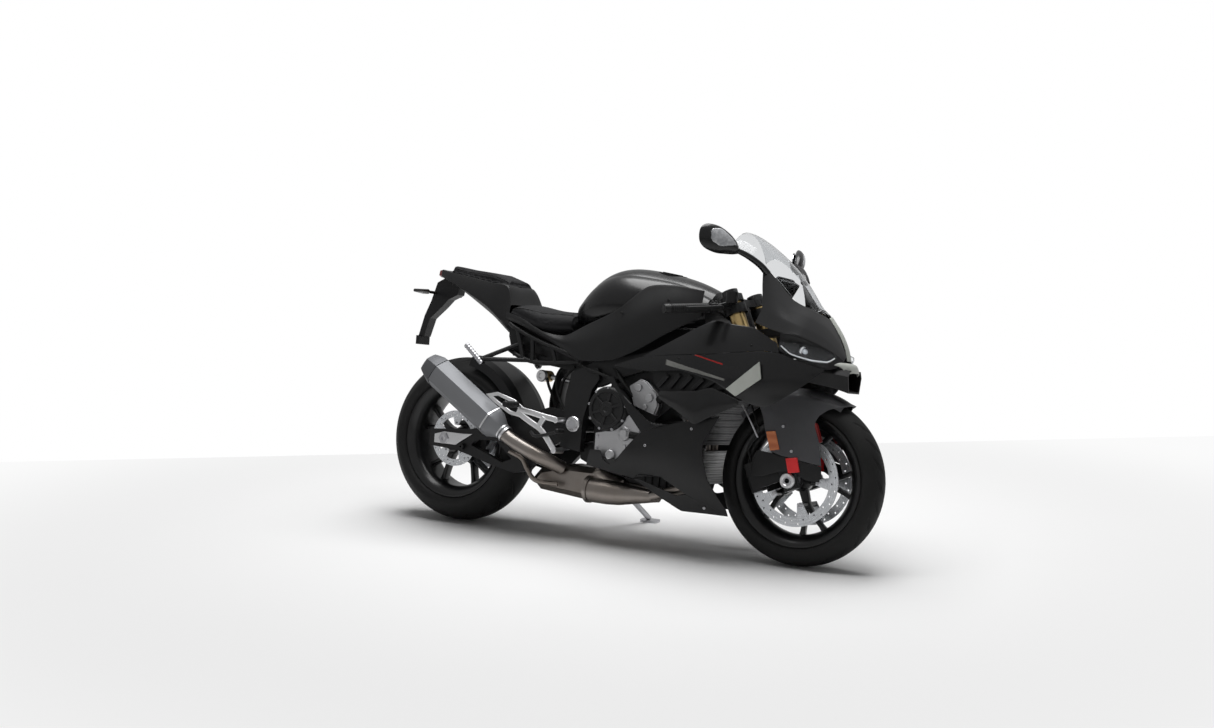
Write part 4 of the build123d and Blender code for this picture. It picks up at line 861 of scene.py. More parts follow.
# Nose: the cowl, the pale centre strip and the chin
# rows from the rear edge to the nose, each from the lower crease up to the screen: x, half width, z
COWL = [
    [(596, 194, 832), (618, 195, 885), (612, 190, 960), (600, 166, 1036)],
    [(636, 197, 818), (654, 192, 866), (650, 172, 925), (636, 134, 990)],
    [(690, 194, 803), (704, 178, 844), (702, 148, 884), (698, 110, 920)],
    [(750, 172, 795), (760, 146, 824), (764, 106, 858), (762, 64, 886)],
    [(802, 126, 772), (808, 100, 798), (808, 62, 830), (800, 18, 860)],
    [(846, 72, 744), (850, 54, 757), (848, 34, 778), (836, 17, 808)],
    [(866, 34, 722), (868, 28, 730), (867, 20, 740), (862, 16, 752)],
]
cowl = mirrored(patch(COWL, 72, 32, (0.2, 0.35)))
make("cowl_skin", cowl, "gloss_black", "frame", "gloss_panel", ["front_cowl"], wall=3.0, round_off=1.0,
     closed=False)

# Centre strip of the nose and the chin over the intake, pale as the winglets
STRIP = [
    [(796, 17, 868), (798, 8, 872), (798, 0, 873)],
    [(836, 17, 812), (840, 8, 815), (841, 0, 816)],
    [(860, 16, 764), (865, 8, 765), (866, 0, 766)],
    [(872, 18, 722), (877, 9, 722), (878, 0, 722)],
]
CHIN = [
    [(790, 118, 704), (800, 84, 712), (806, 40, 714), (808, 0, 714)],
    [(842, 84, 706), (852, 60, 715), (858, 30, 717), (860, 0, 717)],
    [(872, 62, 696), (884, 46, 706), (890, 24, 709), (892, 0, 709)],
    [(884, 58, 672), (896, 42, 680), (902, 22, 682), (903, 0, 682)],
]
pale = merged(mirrored(patch(STRIP, 24, 10)), mirrored(patch(CHIN, 24, 16)))
make("nose_trim", pale, "pale_grey", **SHELL)

# Side fairings: an upper panel over the engine, split along the crease below the lamp
# columns: x, then (z, half width) from low to high
UPPER = [
    (60, (600, 205), (650, 214), (690, 206), (740, 192)),
    (220, (590, 216), (645, 228), (705, 218), (790, 186)),
    (380, (585, 224), (655, 236), (725, 224), (840, 178)),
    (520, (575, 230), (640, 240), (750, 226), (840, 190)),
    (640, (545, 215), (640, 238), (760, 216), (820, 200)),
    (760, (590, 176), (640, 184), (720, 182), (780, 176)),
    (832, (660, 112), (680, 114), (696, 112), (720, 106)),
]
UPPER_REAR = (
    [(62, 652), (216, 641), (347, 650), (470, 622), (540, 584)],
    [(66, 656), (178, 691), (300, 702), (440, 712), (590, 728)],
    [(62, 652), (66, 656)],
    [(540, 584), (574, 640), (588, 690), (590, 728)],
)
UPPER_FRONT = (
    [(540, 584), (580, 560), (670, 545), (763, 612), (829, 682)],
    [(590, 728), (640, 734), (700, 730), (770, 706), (830, 686)],
    [(540, 584), (574, 640), (588, 690), (590, 728)],
    [(829, 682), (830, 686)],
)
UPPER_TOP = (
    [(178, 692), (300, 704), (440, 714), (590, 730), (648, 736), (700, 732)],
    [(184, 695), (300, 762), (430, 832), (519, 822), (600, 812), (690, 764)],
    [(178, 692), (184, 695)],
    [(700, 732), (690, 764)],
)
upper = [skin(edges, UPPER, 64, 24) for edges in (UPPER_REAR, UPPER_FRONT, UPPER_TOP)]
make("fairing_skin", mirrored(merged(*upper)), "side_panel", "frame", "satin_black", ["side_fairings"],
     **SHELL)

# Belly fairing with its slot for the pipes
BELLY = [
    (-45, (250, 166), (330, 208), (420, 212), (620, 212)),
    (140, (240, 150), (320, 206), (430, 214), (620, 218)),
    (330, (150, 134), (320, 204), (450, 216), (620, 220)),
    (460, (150, 138), (210, 182), (440, 214), (620, 220)),
    (546, (150, 150), (180, 170), (440, 212), (620, 216)),
]
BELLY_MAIN = (
    [(-41, 285), (69, 264), (141, 252), (173, 270), (262, 270), (368, 217), (524, 158)],
    [(-15, 344), (27, 344), (39, 314), (95, 319), (191, 423), (320, 463), (496, 502)],
    [(-41, 285), (-28, 315), (-15, 344)],
    [(524, 158), (521, 183), (463, 281), (442, 363), (441, 405), (463, 445), (496, 502)],
)
BELLY_BLADE = (
    [(141, 250), (279, 182), (335, 154), (430, 155), (524, 156)],
    [(143, 251), (175, 249), (326, 207), (368, 216), (524, 158)],
    [(141, 250), (143, 251)],
    [(524, 156), (524, 158)],
)
BELLY_ARM = (
    [(191, 423), (258, 447), (320, 463)],
    [(32, 608), (46, 612), (60, 614)],
    [(191, 423), (131, 488), (84, 558), (32, 608)],
    [(320, 463), (258, 449), (212, 468), (116, 539), (60, 614)],
)
belly = [skin(edges, BELLY, 72, 32, 0.8) for edges in (BELLY_MAIN, BELLY_BLADE, BELLY_ARM)]
WING = [
    [(262, 231, 548), (262, 236, 560), (262, 230, 572)],
    [(340, 236, 508), (338, 246, 540), (336, 236, 577)],
    [(410, 236, 467), (412, 248, 515), (412, 236, 584)],
    [(470, 238, 496), (472, 249, 542), (472, 238, 598)],
    [(576, 236, 546), (576, 240, 552), (576, 238, 558)],
]
wings = patch(WING, 48, 14, (0.7, 0.4))
make("belly_skin", mirrored(merged(*belly, wings)), "satin_black", stands_for=["belly_fairings"], **SHELL)

# Side covers below the tank, running on under the seat to the tail
COVER = [
    [(-486, 122, 806), (-488, 126, 822), (-490, 122, 836)],
    [(-400, 138, 782), (-402, 146, 797), (-404, 142, 812)],
    [(-297, 142, 742), (-298, 150, 754), (-300, 146, 766)],
    [(-204, 152, 704), (-205, 158, 730), (-206, 140, 755)],
    [(-104, 176, 664), (-104, 174, 735), (-106, 150, 798)],
    [(36, 188, 674), (36, 191, 775), (36, 176, 858)],
    [(140, 188, 716), (140, 187, 838), (140, 148, 948)],
    [(250, 176, 782), (250, 173, 880), (250, 146, 956)],
    [(366, 150, 846), (366, 150, 890), (366, 138, 940)],
]
make("cover_skin", mirrored(patch(COVER, 96, 24, (0.3, 0.1))), "satin_black", stands_for=["side_covers"],
     **SHELL)

# Front fender: an arch over the tyre, a guard down each fork leg and a cover below it
# rows from the seam over the axle up to the arch's ridge, each from front to rear: ahead of the axle,
# half width, height over the axle
GUARD = [
    [(112, 112, 60), (70, 128, 68), (20, 138, 77), (-30, 139, 85), (-66, 134, 94)],
    [(95, 106, 140), (58, 124, 142), (8, 138, 145), (-50, 139, 150), (-92, 132, 156)],
    [(74, 102, 196), (46, 118, 198), (0, 134, 200), (-62, 138, 204), (-106, 131, 208)],
    [(84, 92, 228), (52, 106, 230), (0, 124, 232), (-72, 136, 236), (-118, 131, 238)],
    [(112, 78, 252), (64, 92, 258), (4, 110, 262), (-76, 130, 264), (-122, 132, 262)],
    [(146, 64, 262), (84, 80, 280), (12, 94, 294), (-58, 108, 298), (-96, 116, 288)],
    [(168, 34, 270), (104, 46, 292), (16, 54, 311), (-48, 62, 313), (-92, 68, 306)],
    [(172, 0, 272), (110, 0, 298), (18, 0, 318), (-48, 0, 319), (-92, 0, 312)],
]
FOOT_COVER = [
    [(108, 112, 4), (64, 126, 8), (30, 137, 27), (-22, 139, 31), (-90, 137, 8), (-146, 124, 2)],
    [(114, 112, 30), (70, 127, 34), (20, 138, 44), (-40, 140, 48), (-90, 137, 50), (-138, 126, 50)],
    [(112, 112, 57), (70, 128, 65), (20, 138, 74), (-30, 139, 82), (-66, 136, 90), (-122, 127, 96)],
]


def over_axle(net):
    """Rows given from the front axle, turned to run rear to front and then upward."""
    return np.swapaxes(np.array([row[::-1] for row in net], float) + FRONT_AXLE, 0, 1)


ARCH = [(74, 284), (70, 300), (46, 312), (0, 316), (-46, 312), (-70, 300), (-74, 284)]
swing = np.radians(np.linspace(60, 136, 72))[:, None]
hoop = curve(ARCH, 41, 0.2)[None]
narrow = np.interp(swing, np.radians((60, 72, 136)), (0.62, 1, 1))
arch = grid_of(hoop[..., 1] * np.cos(swing), hoop[..., 0] * narrow, hoop[..., 1] * np.sin(swing))
fender = merged(surface((arch + FRONT_AXLE)[::-1]), mirrored(patch(over_axle(GUARD), 48, 54, (0.8, 0.4))))
# the fender skin's grey finish is painted sheen on a satin black part
make("fender_skin", fender, "guard", "steering", "satin_black", ["front_fender"], **SHELL)
make("foot_covers", mirrored(patch(over_axle(FOOT_COVER), 48, 16, (0.7, 0.3))), "satin_black", "steering",
     **SHELL)

# Tail: body under the pillion seat
# rows from the seat to the tip: x, then half width and height from the keel up to the top
TAIL = [
    [(-476, 0, 742), (-476, 60, 742), (-476, 124, 795), (-476, 116, 862), (-476, 0, 866)],
    [(-512, 0, 756), (-512, 60, 756), (-512, 122, 800), (-512, 96, 938), (-512, 0, 938)],
    [(-600, 0, 822), (-600, 56, 822), (-600, 114, 860), (-600, 84, 950), (-600, 0, 950)],
    [(-744, 0, 905), (-744, 44, 905), (-744, 88, 925), (-744, 66, 976), (-744, 0, 976)],
    [(-830, 0, 944), (-830, 34, 944), (-830, 64, 955), (-830, 50, 990), (-830, 0, 990)],
    [(-880, 0, 966), (-880, 24, 966), (-880, 42, 974), (-880, 36, 1000), (-880, 0, 1000)],
]
make("tail_skin", mirrored(patch(TAIL[::-1], 60, 40, (0.3, 0.7))), "satin_black", "frame", "gloss_panel",
     ["tail_fairing"], closed=False)

# Silencer: an oval can with a cone, a clamp band and a tapered end cap
CAN_FRONT = np.array([-452.0, -202.0, 402.0])
CAN_REAR = np.array([-722.0, -214.0, 580.0])
can_way = normed(CAN_REAR - CAN_FRONT)
can_long = np.linalg.norm(CAN_REAR - CAN_FRONT)


def can(stations, sides=72):
    """Turned body along the can's axis whose section goes from round to six-sided with soft corners."""
    along, radius, corner = np.array(stations, float).T
    turn = full_turn(sides)
    first = normed(np.cross((0.0, 0.0, 1.0), can_way))
    second = np.cross(can_way, first)
    shape = (1 - corner[:, None]) + corner[:, None] * six_sided(turn)
    ring = np.cos(turn)[:, None] * first + 1.06 * np.sin(turn)[:, None] * second
    points = CAN_FRONT + along[:, None, None] * can_way + (radius[:, None] * shape)[..., None] * ring[None]
    return surface(points, wrap_v=True, capped=True)


LINK = [CAN_FRONT - 40 * can_way, (-388, -199, 358), (-330, -197, 330), (-266, -180, 300), (-222, -140, 276),
        (-196, -104.5, 256)]
shell = can([(-46, 29, 0), (-44, 30, 0), (-30, 38, 0.2), (0, 56, 0.6), (14, 58, 0.7), (can_long - 4, 59, 0.7),
             (can_long, 57, 0.7)])
link = pipe(LINK, 27, 28, 48)
collar = tube([CAN_FRONT - 62 * can_way, CAN_FRONT - 40 * can_way], 31, 40)
make("silencer_can", merged(shell, collar), "silencer", stands_for=["silencer"], sharp=30)
THIN = [(-196, -128, 196), (-280, -150, 203), (-320, -152, 240), (-346, -158, 280), (-394, -176, 304)]
make("link_pipe", merged(link, pipe(THIN, 9, 16, 40)), "exhaust")
strap = can([(16, 57, 0.7), (16, 60, 0.7), (22, 60, 0.7), (22, 57, 0.7)])
rings = [tube([CAN_FRONT - a * can_way, CAN_FRONT - b * can_way], 33, 40) for a, b in ((66, 58), (50, 44))]
make("silencer_bands", merged(strap, *rings), "aluminium", sharp=30)
cap = can([(can_long, 60, 0.7), (can_long + 16, 59, 0.7), (can_long + 40, 51, 0.7), (can_long + 60, 43, 0.6),
           (can_long + 62, 38, 0.6), (can_long + 60, 26, 0), (can_long + 24, 25, 0)])
# the end cap takes the darker copy of the can's finish as painted shade
make("silencer_end_painted_shade", cap, "silencer_end_painted_shade", "frame", "silencer", ["silencer_caps"], sharp=30)

# Headlights: dark bucket, clear cover, projector in a bright ring, and a light line under the edge
# rows from the rear corner to the nose, each from the lower edge up: x, half width, z
BUCKET = [
    [(686, 197, 738), (690, 190, 770), (690, 193, 803)],
    [(724, 191, 727), (724, 172, 762), (722, 186, 799)],
    [(770, 173, 708), (770, 146, 748), (770, 160, 787)],
    [(808, 135, 693), (806, 112, 732), (806, 122, 770)],
    [(838, 102, 688), (842, 84, 718), (846, 72, 744)],
    [(862, 62, 698), (864, 46, 712), (866, 34, 723)],
]
LENS = [
    [(692, 197, 752), (692, 198, 761), (692, 196, 770)],
    [(734, 190, 727), (735, 188, 748), (735, 183, 769)],
    [(790, 158, 712), (792, 153, 736), (792, 145, 760)],
    [(836, 113, 709), (840, 102, 727), (844, 92, 744)],
    [(857, 86, 727), (858, 82, 733), (859, 78, 739)],
]
make("lamp_bucket", mirrored(patch(BUCKET, 40, 16, (0.2, 0.3))), "satin_black", wall=2.0,
     closed=False)
make("lamp_cover", mirrored(patch(LENS, 40, 12, (0.2, 0))), "lamp", stands_for=["headlights"], wall=2.0,
     closed=False)
LAMP_AT = [(766, -146, 740)]
ball = button([(0, 9), (7, 7.5), (12, 3), (14, -2), (14, -8), (0, -8)])
ring = button([(14.5, -6), (14.5, 2), (17, 4), (21, 1), (22, -4), (22, -6)])
beam = facing([(0.82, -0.57, 0.0)])
make("lamp_ball", mirrored(repeated(ball, beam, LAMP_AT)), "projector", "frame", "lamp")
rims = merged(ring, repeated(ring, np.eye(3)[None] * 0.55, [(0, 0, -1)]))
make("lamp_ring", mirrored(repeated(rims, beam, LAMP_AT)), "aluminium")
LINE = [(698, -195, 757), (733, -187, 731), (788, -155, 716), (834, -110, 713), (852, -88, 727)]
make("lamp_line", mirrored(tube(curve(LINE, 48, 0.4), 2.2, 10)), "light_line", "frame", "lamp")

# Mirrors: shell, arm, indicator on the front face and glass behind
# columns: half width place, x, z, half depth, half height
MIRROR = np.array([
    (258, 540, 1070, 9, 11), (280, 532, 1080, 20, 25), (310, 520, 1090, 27, 37), (350, 504, 1098, 30, 46),
    (390, 486, 1104, 25, 42), (410, 476, 1106, 14, 28), (417, 473, 1106, 4, 9),
], float)
wide, mx, mz, ma, mb = curve(MIRROR, 56).T[:, :, None]
spin = full_turn(48)[None]
deep = np.where(np.cos(spin) > 0, 1.0, 0.5)
shell = grid_of(mx + ma * np.cos(spin) * deep, -wide, mz + mb * np.sin(spin))
ARM = curve([(618, -170, 1004), (600, -196, 1030), (570, -236, 1056), (536, -268, 1074)], 32)
arm = tube(ARM, np.linspace(17, 10, 32), 24, (0, 0, 1), np.linspace(0.62, 0.9, 32))
make("mirror_shells", mirrored(merged(surface(shell, wrap_v=True, capped=True), arm)), "panel", "frame",
     "gloss_panel", ["mirrors"], sharp=60)
lens_w = np.linspace(396, 292, 32)[:, None]
row = [np.interp(lens_w, MIRROR[:, 0], MIRROR[:, k]) for k in range(1, 5)]
tall = np.interp(lens_w, (292, 316, 360, 390, 396), (0.06, 0.34, 0.66, 0.5, 0.3))
rise = np.linspace(-1, 1, 14)[None] * tall + 0.10
bulge = np.sqrt(1 - np.clip(rise, -0.95, 0.95) ** 2)
ahead = row[0] + (row[2] + 2.0) * bulge
flash = grid_of(ahead, -lens_w, row[1] + (row[3] + 1.5) * rise)
make("mirror_flashers", mirrored(surface(flash)), "flasher", "frame", "lamp", wall=1.5, closed=False)
pane = button([(0, 0.8), (30, 0.8), (32, 0), (32, -3), (0, -3)], 48)
skew = np.array([[[0.55, 0.0, -0.95], [1.65, 0.0, 0.31], [0.0, 1.12, 0.0]]])
make("mirror_glass", mirrored(repeated(pane, skew, [(486, -350, 1097)])), "mirror_glass", "frame", "lamp")

# Shock: coil on a bright damper, with its reservoir
SHOCK_LOW = np.array([-214.0, 0.0, 336.0])
SHOCK_TOP = np.array([-176.0, 0.0, 588.0])
shock_way = normed(SHOCK_TOP - SHOCK_LOW)
DAMPER = [(0, 18), (1, 20), (50, 20), (51, 36), (61, 36), (62, 15), (211, 15), (212, 36), (222, 36),
          (223, 27), (250, 25), (254, 20)]
feet = [plate([(-196, 560), (-128, 592), (-128, 612), (-190, 588)], 10, -10),
        plate([(-216, 344), (-216, 376), (-263, 404), (-263, 376)], 10, -10)]
turn = np.linspace(0, 2 * np.pi * 6.3, 260)[:, None]
level = np.cross(shock_way, (0, 1, 0))
about = np.cos(turn) * level + np.sin(turn) * np.array([0, 1, 0])
coil = SHOCK_LOW + shock_way * (66 + 140 * turn / turn[-1]) + 29 * about
make("shock_damper", merged(stem(SHOCK_LOW, shock_way, DAMPER), *feet), "aluminium", stands_for=["shock"])
make("shock_coil", tube(coil, 5.5, 12, shock_way), "red_paint", "frame", "red_spring")
pot = (-336, 0, 598)
tank_body = spun([(-18, 0), (-18, 20), (-20, 22), (-66, 22), (-68, 20), (-68, 0)], pot)
tank_end = spun([(-66, 0), (-66, 21), (-70, 23), (-80, 23), (-84, 20), (-84, 11), (-80, 9), (-80, 0)], pot)
make("shock_pot", tank_body, "gold")
neck = pipe([(-182, -10, 574), (-240, -18, 584), (-300, -34, 594), (-326, -40, 598)], 9, 16, 24)
make("shock_pot_end", merged(tank_end, neck), "aluminium")

# Engine covers: clutch on the right, alternator on the left, with their bolts
CLUTCH = (33, 0, 495)
COVER_TURN = [(-124.5, 0), (-124.5, 82), (-184, 82), (-191, 79), (-195, 73), (-202, 71), (-202, 61),
              (-196, 58), (-194, 30), (-202, 25), (-202, 13), (-199, 10), (-199, 0)]
cover = spun(COVER_TURN, CLUTCH, 96)
dynamo = spun([(124.5, 0), (124.5, 66), (182, 66), (189, 62), (193, 54), (193.5, 24), (188, 20), (188, 0)],
              (110, 0, 452), 96)
rib_at = np.radians(60 * np.arange(6) + 18)
rib_ends = [ring_of((33, -196, 495), r, rib_at) for r in (26, 62)]
ribs = [tube(ends, 5, 12, (0, 1, 0), 1.0, 0.6) for ends in zip(*rib_ends)]
make("clutch_cover", merged(cover, dynamo, *ribs), "engine_black", "frame", "black_metal", ["engine_covers"])
ring_at = np.radians(np.arange(9) * 40 + 10)
cover_bolts = ring_of((33, -193, 495), 77, ring_at)
case_bolts = [(-4, -183, 394), (-4, -183, 352), (60, -183, 318), (112, -183, 366), (166, -183, 424),
              (130, -183, 472)]
dynamo_bolts = ring_of((110, 190, 452), 60, ring_at)
right_bolts = bolts(np.concatenate([cover_bolts, case_bolts]), (0, -1, 0), 5, 4)
make("engine_bolts", merged(right_bolts, bolts(dynamo_bolts, (0, 1, 0), 5, 4)), "steel")

# Water pump and sight glass on the case
PUMP = (107, 0, 410)
pump = spun([(-176, 0), (-176, 27), (-190, 26), (-194, 22), (-194, 14), (-188, 12), (-188, 0)], PUMP)
glass = spun([(-176, 0), (-176, 20), (-192, 19), (-195, 15), (-192, 11), (-192, 0)], (56, 0, 330))
pump_ribs = repeated(tube([(8, -192, 0), (21, -192, 0)], 2.2, 8, (0, 1, 0)),
                     lateral_turns(np.arange(8) * math.pi / 4), np.broadcast_to(PUMP, (8, 3)))
make("case_caps", merged(pump, glass, pump_ribs), "cast_metal", "frame", "aluminium")

# Cylinder head castings in front of the spar, with hoses
HEAD_SIDE = [(96, 585), (140, 612), (168, 604), (216, 560), (222, 520), (210, 484), (168, 498), (120, 512)]
head_top = [(x + 0.06 * (158 - x), z + 0.06 * (548 - z)) for x, z in HEAD_SIDE]
casting = merged(plate(HEAD_SIDE, -124, -150), plate(head_top, -150, -158),
                 *[spun([(-150, 0), (-150, r), (-166, r - 1), (-168, r - 3), (-168, 0)], (x, 0, z), 32)
                   for x, z, r in ((140, 580, 15), (186, 546, 17), (172, 512, 11))])
make("cylinder_head", mirrored(casting), "cast_metal", "frame", "aluminium", round_off=2.0)
hoses = [
    pipe([(392, -150, 596), (330, -176, 604), (262, -170, 566), (222, -150, 540)], 15),
    pipe([(370, -140, 420), (300, -170, 400), (200, -180, 402), (132, -186, 408)], 13),
    pipe([(120, -150, 540), (70, -165, 600), (30, -150, 640), (-20, -130, 660)], 7, 12),
    pipe([(372, 140, 420), (320, 160, 470), (230, 150, 520), (180, 130, 560)], 15),
]
make("hoses", merged(*hoses), "rubber")

# Swingarm pivot cap, axle nuts and chain adjusters
PIVOT_TURN = [(172.3, 0), (172.3, 29), (182, 29), (186, 26), (186, 17), (181, 15), (181, 9), (184, 8),
              (184, 0)]
make("pivot_caps", mirrored(spun(PIVOT_TURN, (-116, 0, 428))), "aluminium")
nuts = []
for s, end in ((-1, 152), (1, 172)):
    nut_turn = ((end - 13, 15), (end - 13, 25), (end - 4, 25), (end - 1, 22), (end - 1, 15))
    nuts.append(spun([(s * y, r) for y, r in nut_turn], REAR_AXLE, 6))
BLOCK = [(-776, 306), (-776, 340), (-730, 352), (-640, 350), (-596, 352), (-672, 304)]
blocks = merged(plate(BLOCK, -138.4, -146), plate(BLOCK, 158.4, 166))
make("axle_blocks", blocks, "aluminium", round_off=2.0)
make("rear_nuts", merged(*nuts), "steel")
FRONT_NUT = [(127.5, 14), (127.5, 27), (134, 27), (138, 24), (138, 17), (135, 14)]
make("front_nuts", mirrored(spun(FRONT_NUT, FRONT_AXLE)), "aluminium", "steering")

# Guard fittings: reflector, red block, screws
REFLECTOR = [(641, 462), (676, 467), (696, 405), (661, 397)]
MARK = [(720, 376), (762, 383), (774, 334), (733, 326)]
make("guard_reflectors", mirrored(plate(REFLECTOR, -136, -142.5)), "amber_lens", "steering", "red_lens",
     round_off=2.0)
make("guard_marks", mirrored(plate(MARK, -134, -141.5)), "mark_red", "steering", "red_spring", round_off=2.0)
guard_screws = [(704, -139.5, 484), (740, -139, 402)]
make("guard_screws", mirrored(bolts(guard_screws, (0, -1, 0), 5, 3)), "steel", "steering")

# Panel screws, bright on the belly and black above
belly_screws = [(212, -213.5, 377), (392, -214, 450), (436, -160, 176), (-20, -196, 316)]
upper_screws = [(150, -216, 672), (330, -229, 690), (600, -222, 752), (60, -187, 846), (240, -170, 900)]
make("belly_screws", mirrored(bolts(belly_screws, (0, -1, 0), 5, 2.5)), "steel")
make("upper_screws", mirrored(bolts(upper_screws, (0, -1, 0), 4.5, 2)), "black_metal")

# Louvres between the upper panel and the wing
LOUVRE = [(226, 604), (222, 642), (347, 652), (470, 624), (540, 588), (566, 560), (472, 596), (410, 582),
          (262, 566)]
slats = [tube([(x, -216, z), (x + 40, -219, z + 50 - 0.12 * abs(x - 300))], 8, 14, (0, 1, 0), 0.5, 0.7)
         for x, z in ((246, 588), (292, 588), (338, 588), (384, 586), (430, 592), (476, 584))]
make("louvres", mirrored(merged(plate(LOUVRE, -204, -208), *slats)), "satin_black")

# Sump and lower crankcase: painted shade, the black engine finish standing in for the shade behind the
# belly's slot
SUMP = [(-150, 350), (-140, 296), (-60, 262), (48, 246), (120, 206), (292, 196), (352, 214), (372, 300),
        (320, 336), (160, 340), (-40, 372)]
fins = [plate([(x, 210), (x + 5, 210), (x + 5, 330), (x, 330)], -76, 76) for x in range(140, 320, 30)]
make("sump", merged(plate(SUMP, -70, 70), *fins), "engine_black", "frame", "aluminium", round_off=2.0)

# Exhaust collector: a flange and a cone down to the pipes
# columns: x, z, radius
COLLECTOR = np.array([
    (-78, 190, 46), (-77, 190, 51), (-62, 190, 51), (-61, 189, 46), (10, 186, 45), (60, 186, 42),
    (206, 190, 21), (222, 191, 20),
], float)
along, high, wide = COLLECTOR.T
cone = tube(grid_of(along, -100.0, high), wide, 40)
pipes = [pipe([(200, y, 192), (260, y - 4, 210), (318, y - 6, 232), (352, y, 262)], 17, 20, 24)
         for y in (-120, -84)]
make("collector", merged(cone, *pipes), "exhaust", sharp=30)

# Subframe rails with struts, and the guard sheet ahead of the rear wheel
RAILS = [
    [(-470, -122, 792), (-440, -128, 776), (-340, -134, 735), (-202, -140, 691), (-128, -140, 664)],
    [(-462, -124, 690), (-400, -130, 662), (-332, -134, 648), (-230, -138, 650), (-132, -140, 660)],
    [(-352, -133, 740), (-346, -134, 650)],
    [(-428, -129, 771), (-392, -131, 660)],
    [(-258, -138, 708), (-238, -138, 651)],
]
make("subframe_rails", mirrored(merged(*[pipe(line, 8.5, 14, 24) for line in RAILS])), "black_metal")
SHEET = curve([(-232, 654), (-262, 604), (-282, 540), (-286, 480), (-268, 436)], 32)
span_y = np.linspace(-64, 64, 12)
bowed = SHEET[:, None, 0] - 0.003 * span_y ** 2
make("wheel_sheet", surface(grid_of(bowed, span_y, SHEET[:, None, 1])), "satin_black", wall=3.0, closed=False)
WIRES = [
    [(-240, -70, 650), (-262, -84, 600), (-250, -92, 540), (-206, -110, 480), (-180, -130, 440)],
    [(-150, -138, 640), (-200, -120, 600), (-230, -96, 560), (-248, -80, 500)],
    [(-130, -150, 650), (-70, -170, 632), (-10, -172, 618), (40, -160, 600)],
    [(-306, -86, 590), (-290, -92, 560), (-270, -90, 520), (-252, -84, 470)],
]
make("wires", merged(*[pipe(line, 5.5, 12) for line in WIRES]), "rubber")

# Footrests: open heel plate, two arms to the frame, pegs, pedal and passenger stays
HEEL = [(-478, 514), (-425, 525), (-345, 502), (-300, 474), (-318, 438), (-365, 446), (-440, 486)]
HEEL_OPEN = [(-446, 508), (-420, 511), (-356, 490), (-326, 470), (-334, 454), (-362, 460), (-424, 494)]
ARMS = [
    [(-318, -234, 466), (-262, -235, 458), (-212, -233, 448), (-160, -229, 440)],
    [(-322, -234, 452), (-268, -235, 424), (-222, -234, 400), (-186, -232, 362), (-160, -229, 328)],
    [(-232, -234, 408), (-208, -234, 446)],
]
arms = [tube(curve(line, 24), 11, 20, (0, 1, 0), 0.5, 0.6) for line in ARMS]
posts = [stem((-160, -172.5, z), (0, -1, 0), [(0, 11), (60, 11), (62, 9)]) for z in (438, 326)]
hanger = merged(open_plate(HEEL, HEEL_OPEN, -230, -238), *arms, *posts)
make("footrest_arms", mirrored(hanger), "aluminium", stands_for=["footrests"], round_off=1.5)
pedal = pipe([(-262, -236, 388), (-230, -252, 374), (-180, -252, 384), (-118, -252, 402)], 6)
pegs = [
    ribbed((-332, -234, 484), (0, -1, 0), 86, 12, 9),
    ribbed((-120, -240, 401), (0, -1, 0), 46, 9, 5),
    pedal,
]
make("footrest_pegs", mirrored(merged(*pegs)), "black_metal")
stays = [tube([(a[0], -114.5, a[1]), (-541, -196, 646)], 8.5, 16) for a in ((-406, 721), (-336, 655))]
stays.append(stem((-536, -190, 640), (0, -1, 0), [(0, 13), (14, 13), (16, 11)]))
make("passenger_stays", mirrored(merged(*stays)), "black_metal")
make("passenger_pegs", mirrored(ribbed((-532, -200, 628), (-74, -12, 70), 102, 11, 8)), "steel")

# Bars: ribbed grips, end weights, switch boxes and cables
BAR_IN = np.array([471.6, -145.0, 884.0])
BAR_OUT = np.array([322.6, -352.0, 857.0])
bar_way = normed(BAR_OUT - BAR_IN)
grip = ribbed(BAR_IN + 88 * bar_way, bar_way, 142, 17.4, 18)
make("grips", mirrored(grip), "rubber", "steering")
weight = stem(BAR_IN + 232 * bar_way, bar_way, [(0, 12), (1, 16.6), (18, 16.6), (23, 14), (25, 9)])
box_at = [BAR_IN + a * bar_way + (7, -5, 3) for a in (54, 57, 81, 84)]
box = tube(box_at, [12, 15, 15, 12], 24, (0, 0, 1), 1.0, 0.7)
KNOB = [(0, 5), (8, 5), (10, 3.5)]
buttons = [stem(BAR_IN + a * bar_way + (9, -6, 14), (0.3, -0.2, 1), KNOB) for a in (62, 76)]
make("bar_ends", mirrored(merged(weight, box, *buttons)), "black_metal", "steering")
cables = [
    [BAR_IN + 54 * bar_way + (16, 0, 4), (486, -150, 898), (470, -110, 900), (440, -70, 880)],
    [BAR_IN + 50 * bar_way + (-14, 0, -12), (440, -150, 862), (452, -112, 846), (470, -84, 836)],
]
make("bar_cables", mirrored(merged(*[pipe(line, 4, 10) for line in cables])), "rubber", "steering")

# Dash display on its bracket
DASH = np.array([596.0, 0.0, 965.0])
dash_turn = facing([(-0.8645, 0.0, 0.5026)])
case = rounded_box(158, 88, -2, 6)
pane = rounded_box(142, 72, 5.0, 7.2)
make("dash_case", repeated(case, dash_turn, [DASH]), "satin_black")
make("dash_glass", repeated(pane, dash_turn, [DASH]), "dash_glass", "frame", "lamp")

# Front wheel fittings: red brake block, sensor lead, disc bolts
BLOCK_RED = [(786, 510), (806, 502), (828, 440), (812, 434), (796, 456)]
make("brake_blocks", mirrored(plate(BLOCK_RED, -79, -101)), "caliper_red", "steering", "red_spring",
     round_off=2.0)
lead = pipe([(545, -140, 547), (582, -143, 492), (612, -141, 439)], 3, 10, 24)
make("sensor_lead", mirrored(lead), "steel", "steering")
spots = np.radians(72 * np.arange(5))
disc_bolts = ring_of(FRONT_AXLE + (0, -70.5, 0), 88, spots)
make("disc_bolts", mirrored(bolts(disc_bolts, (0, -1, 0), 8, 3)), "steel", "front_wheel")

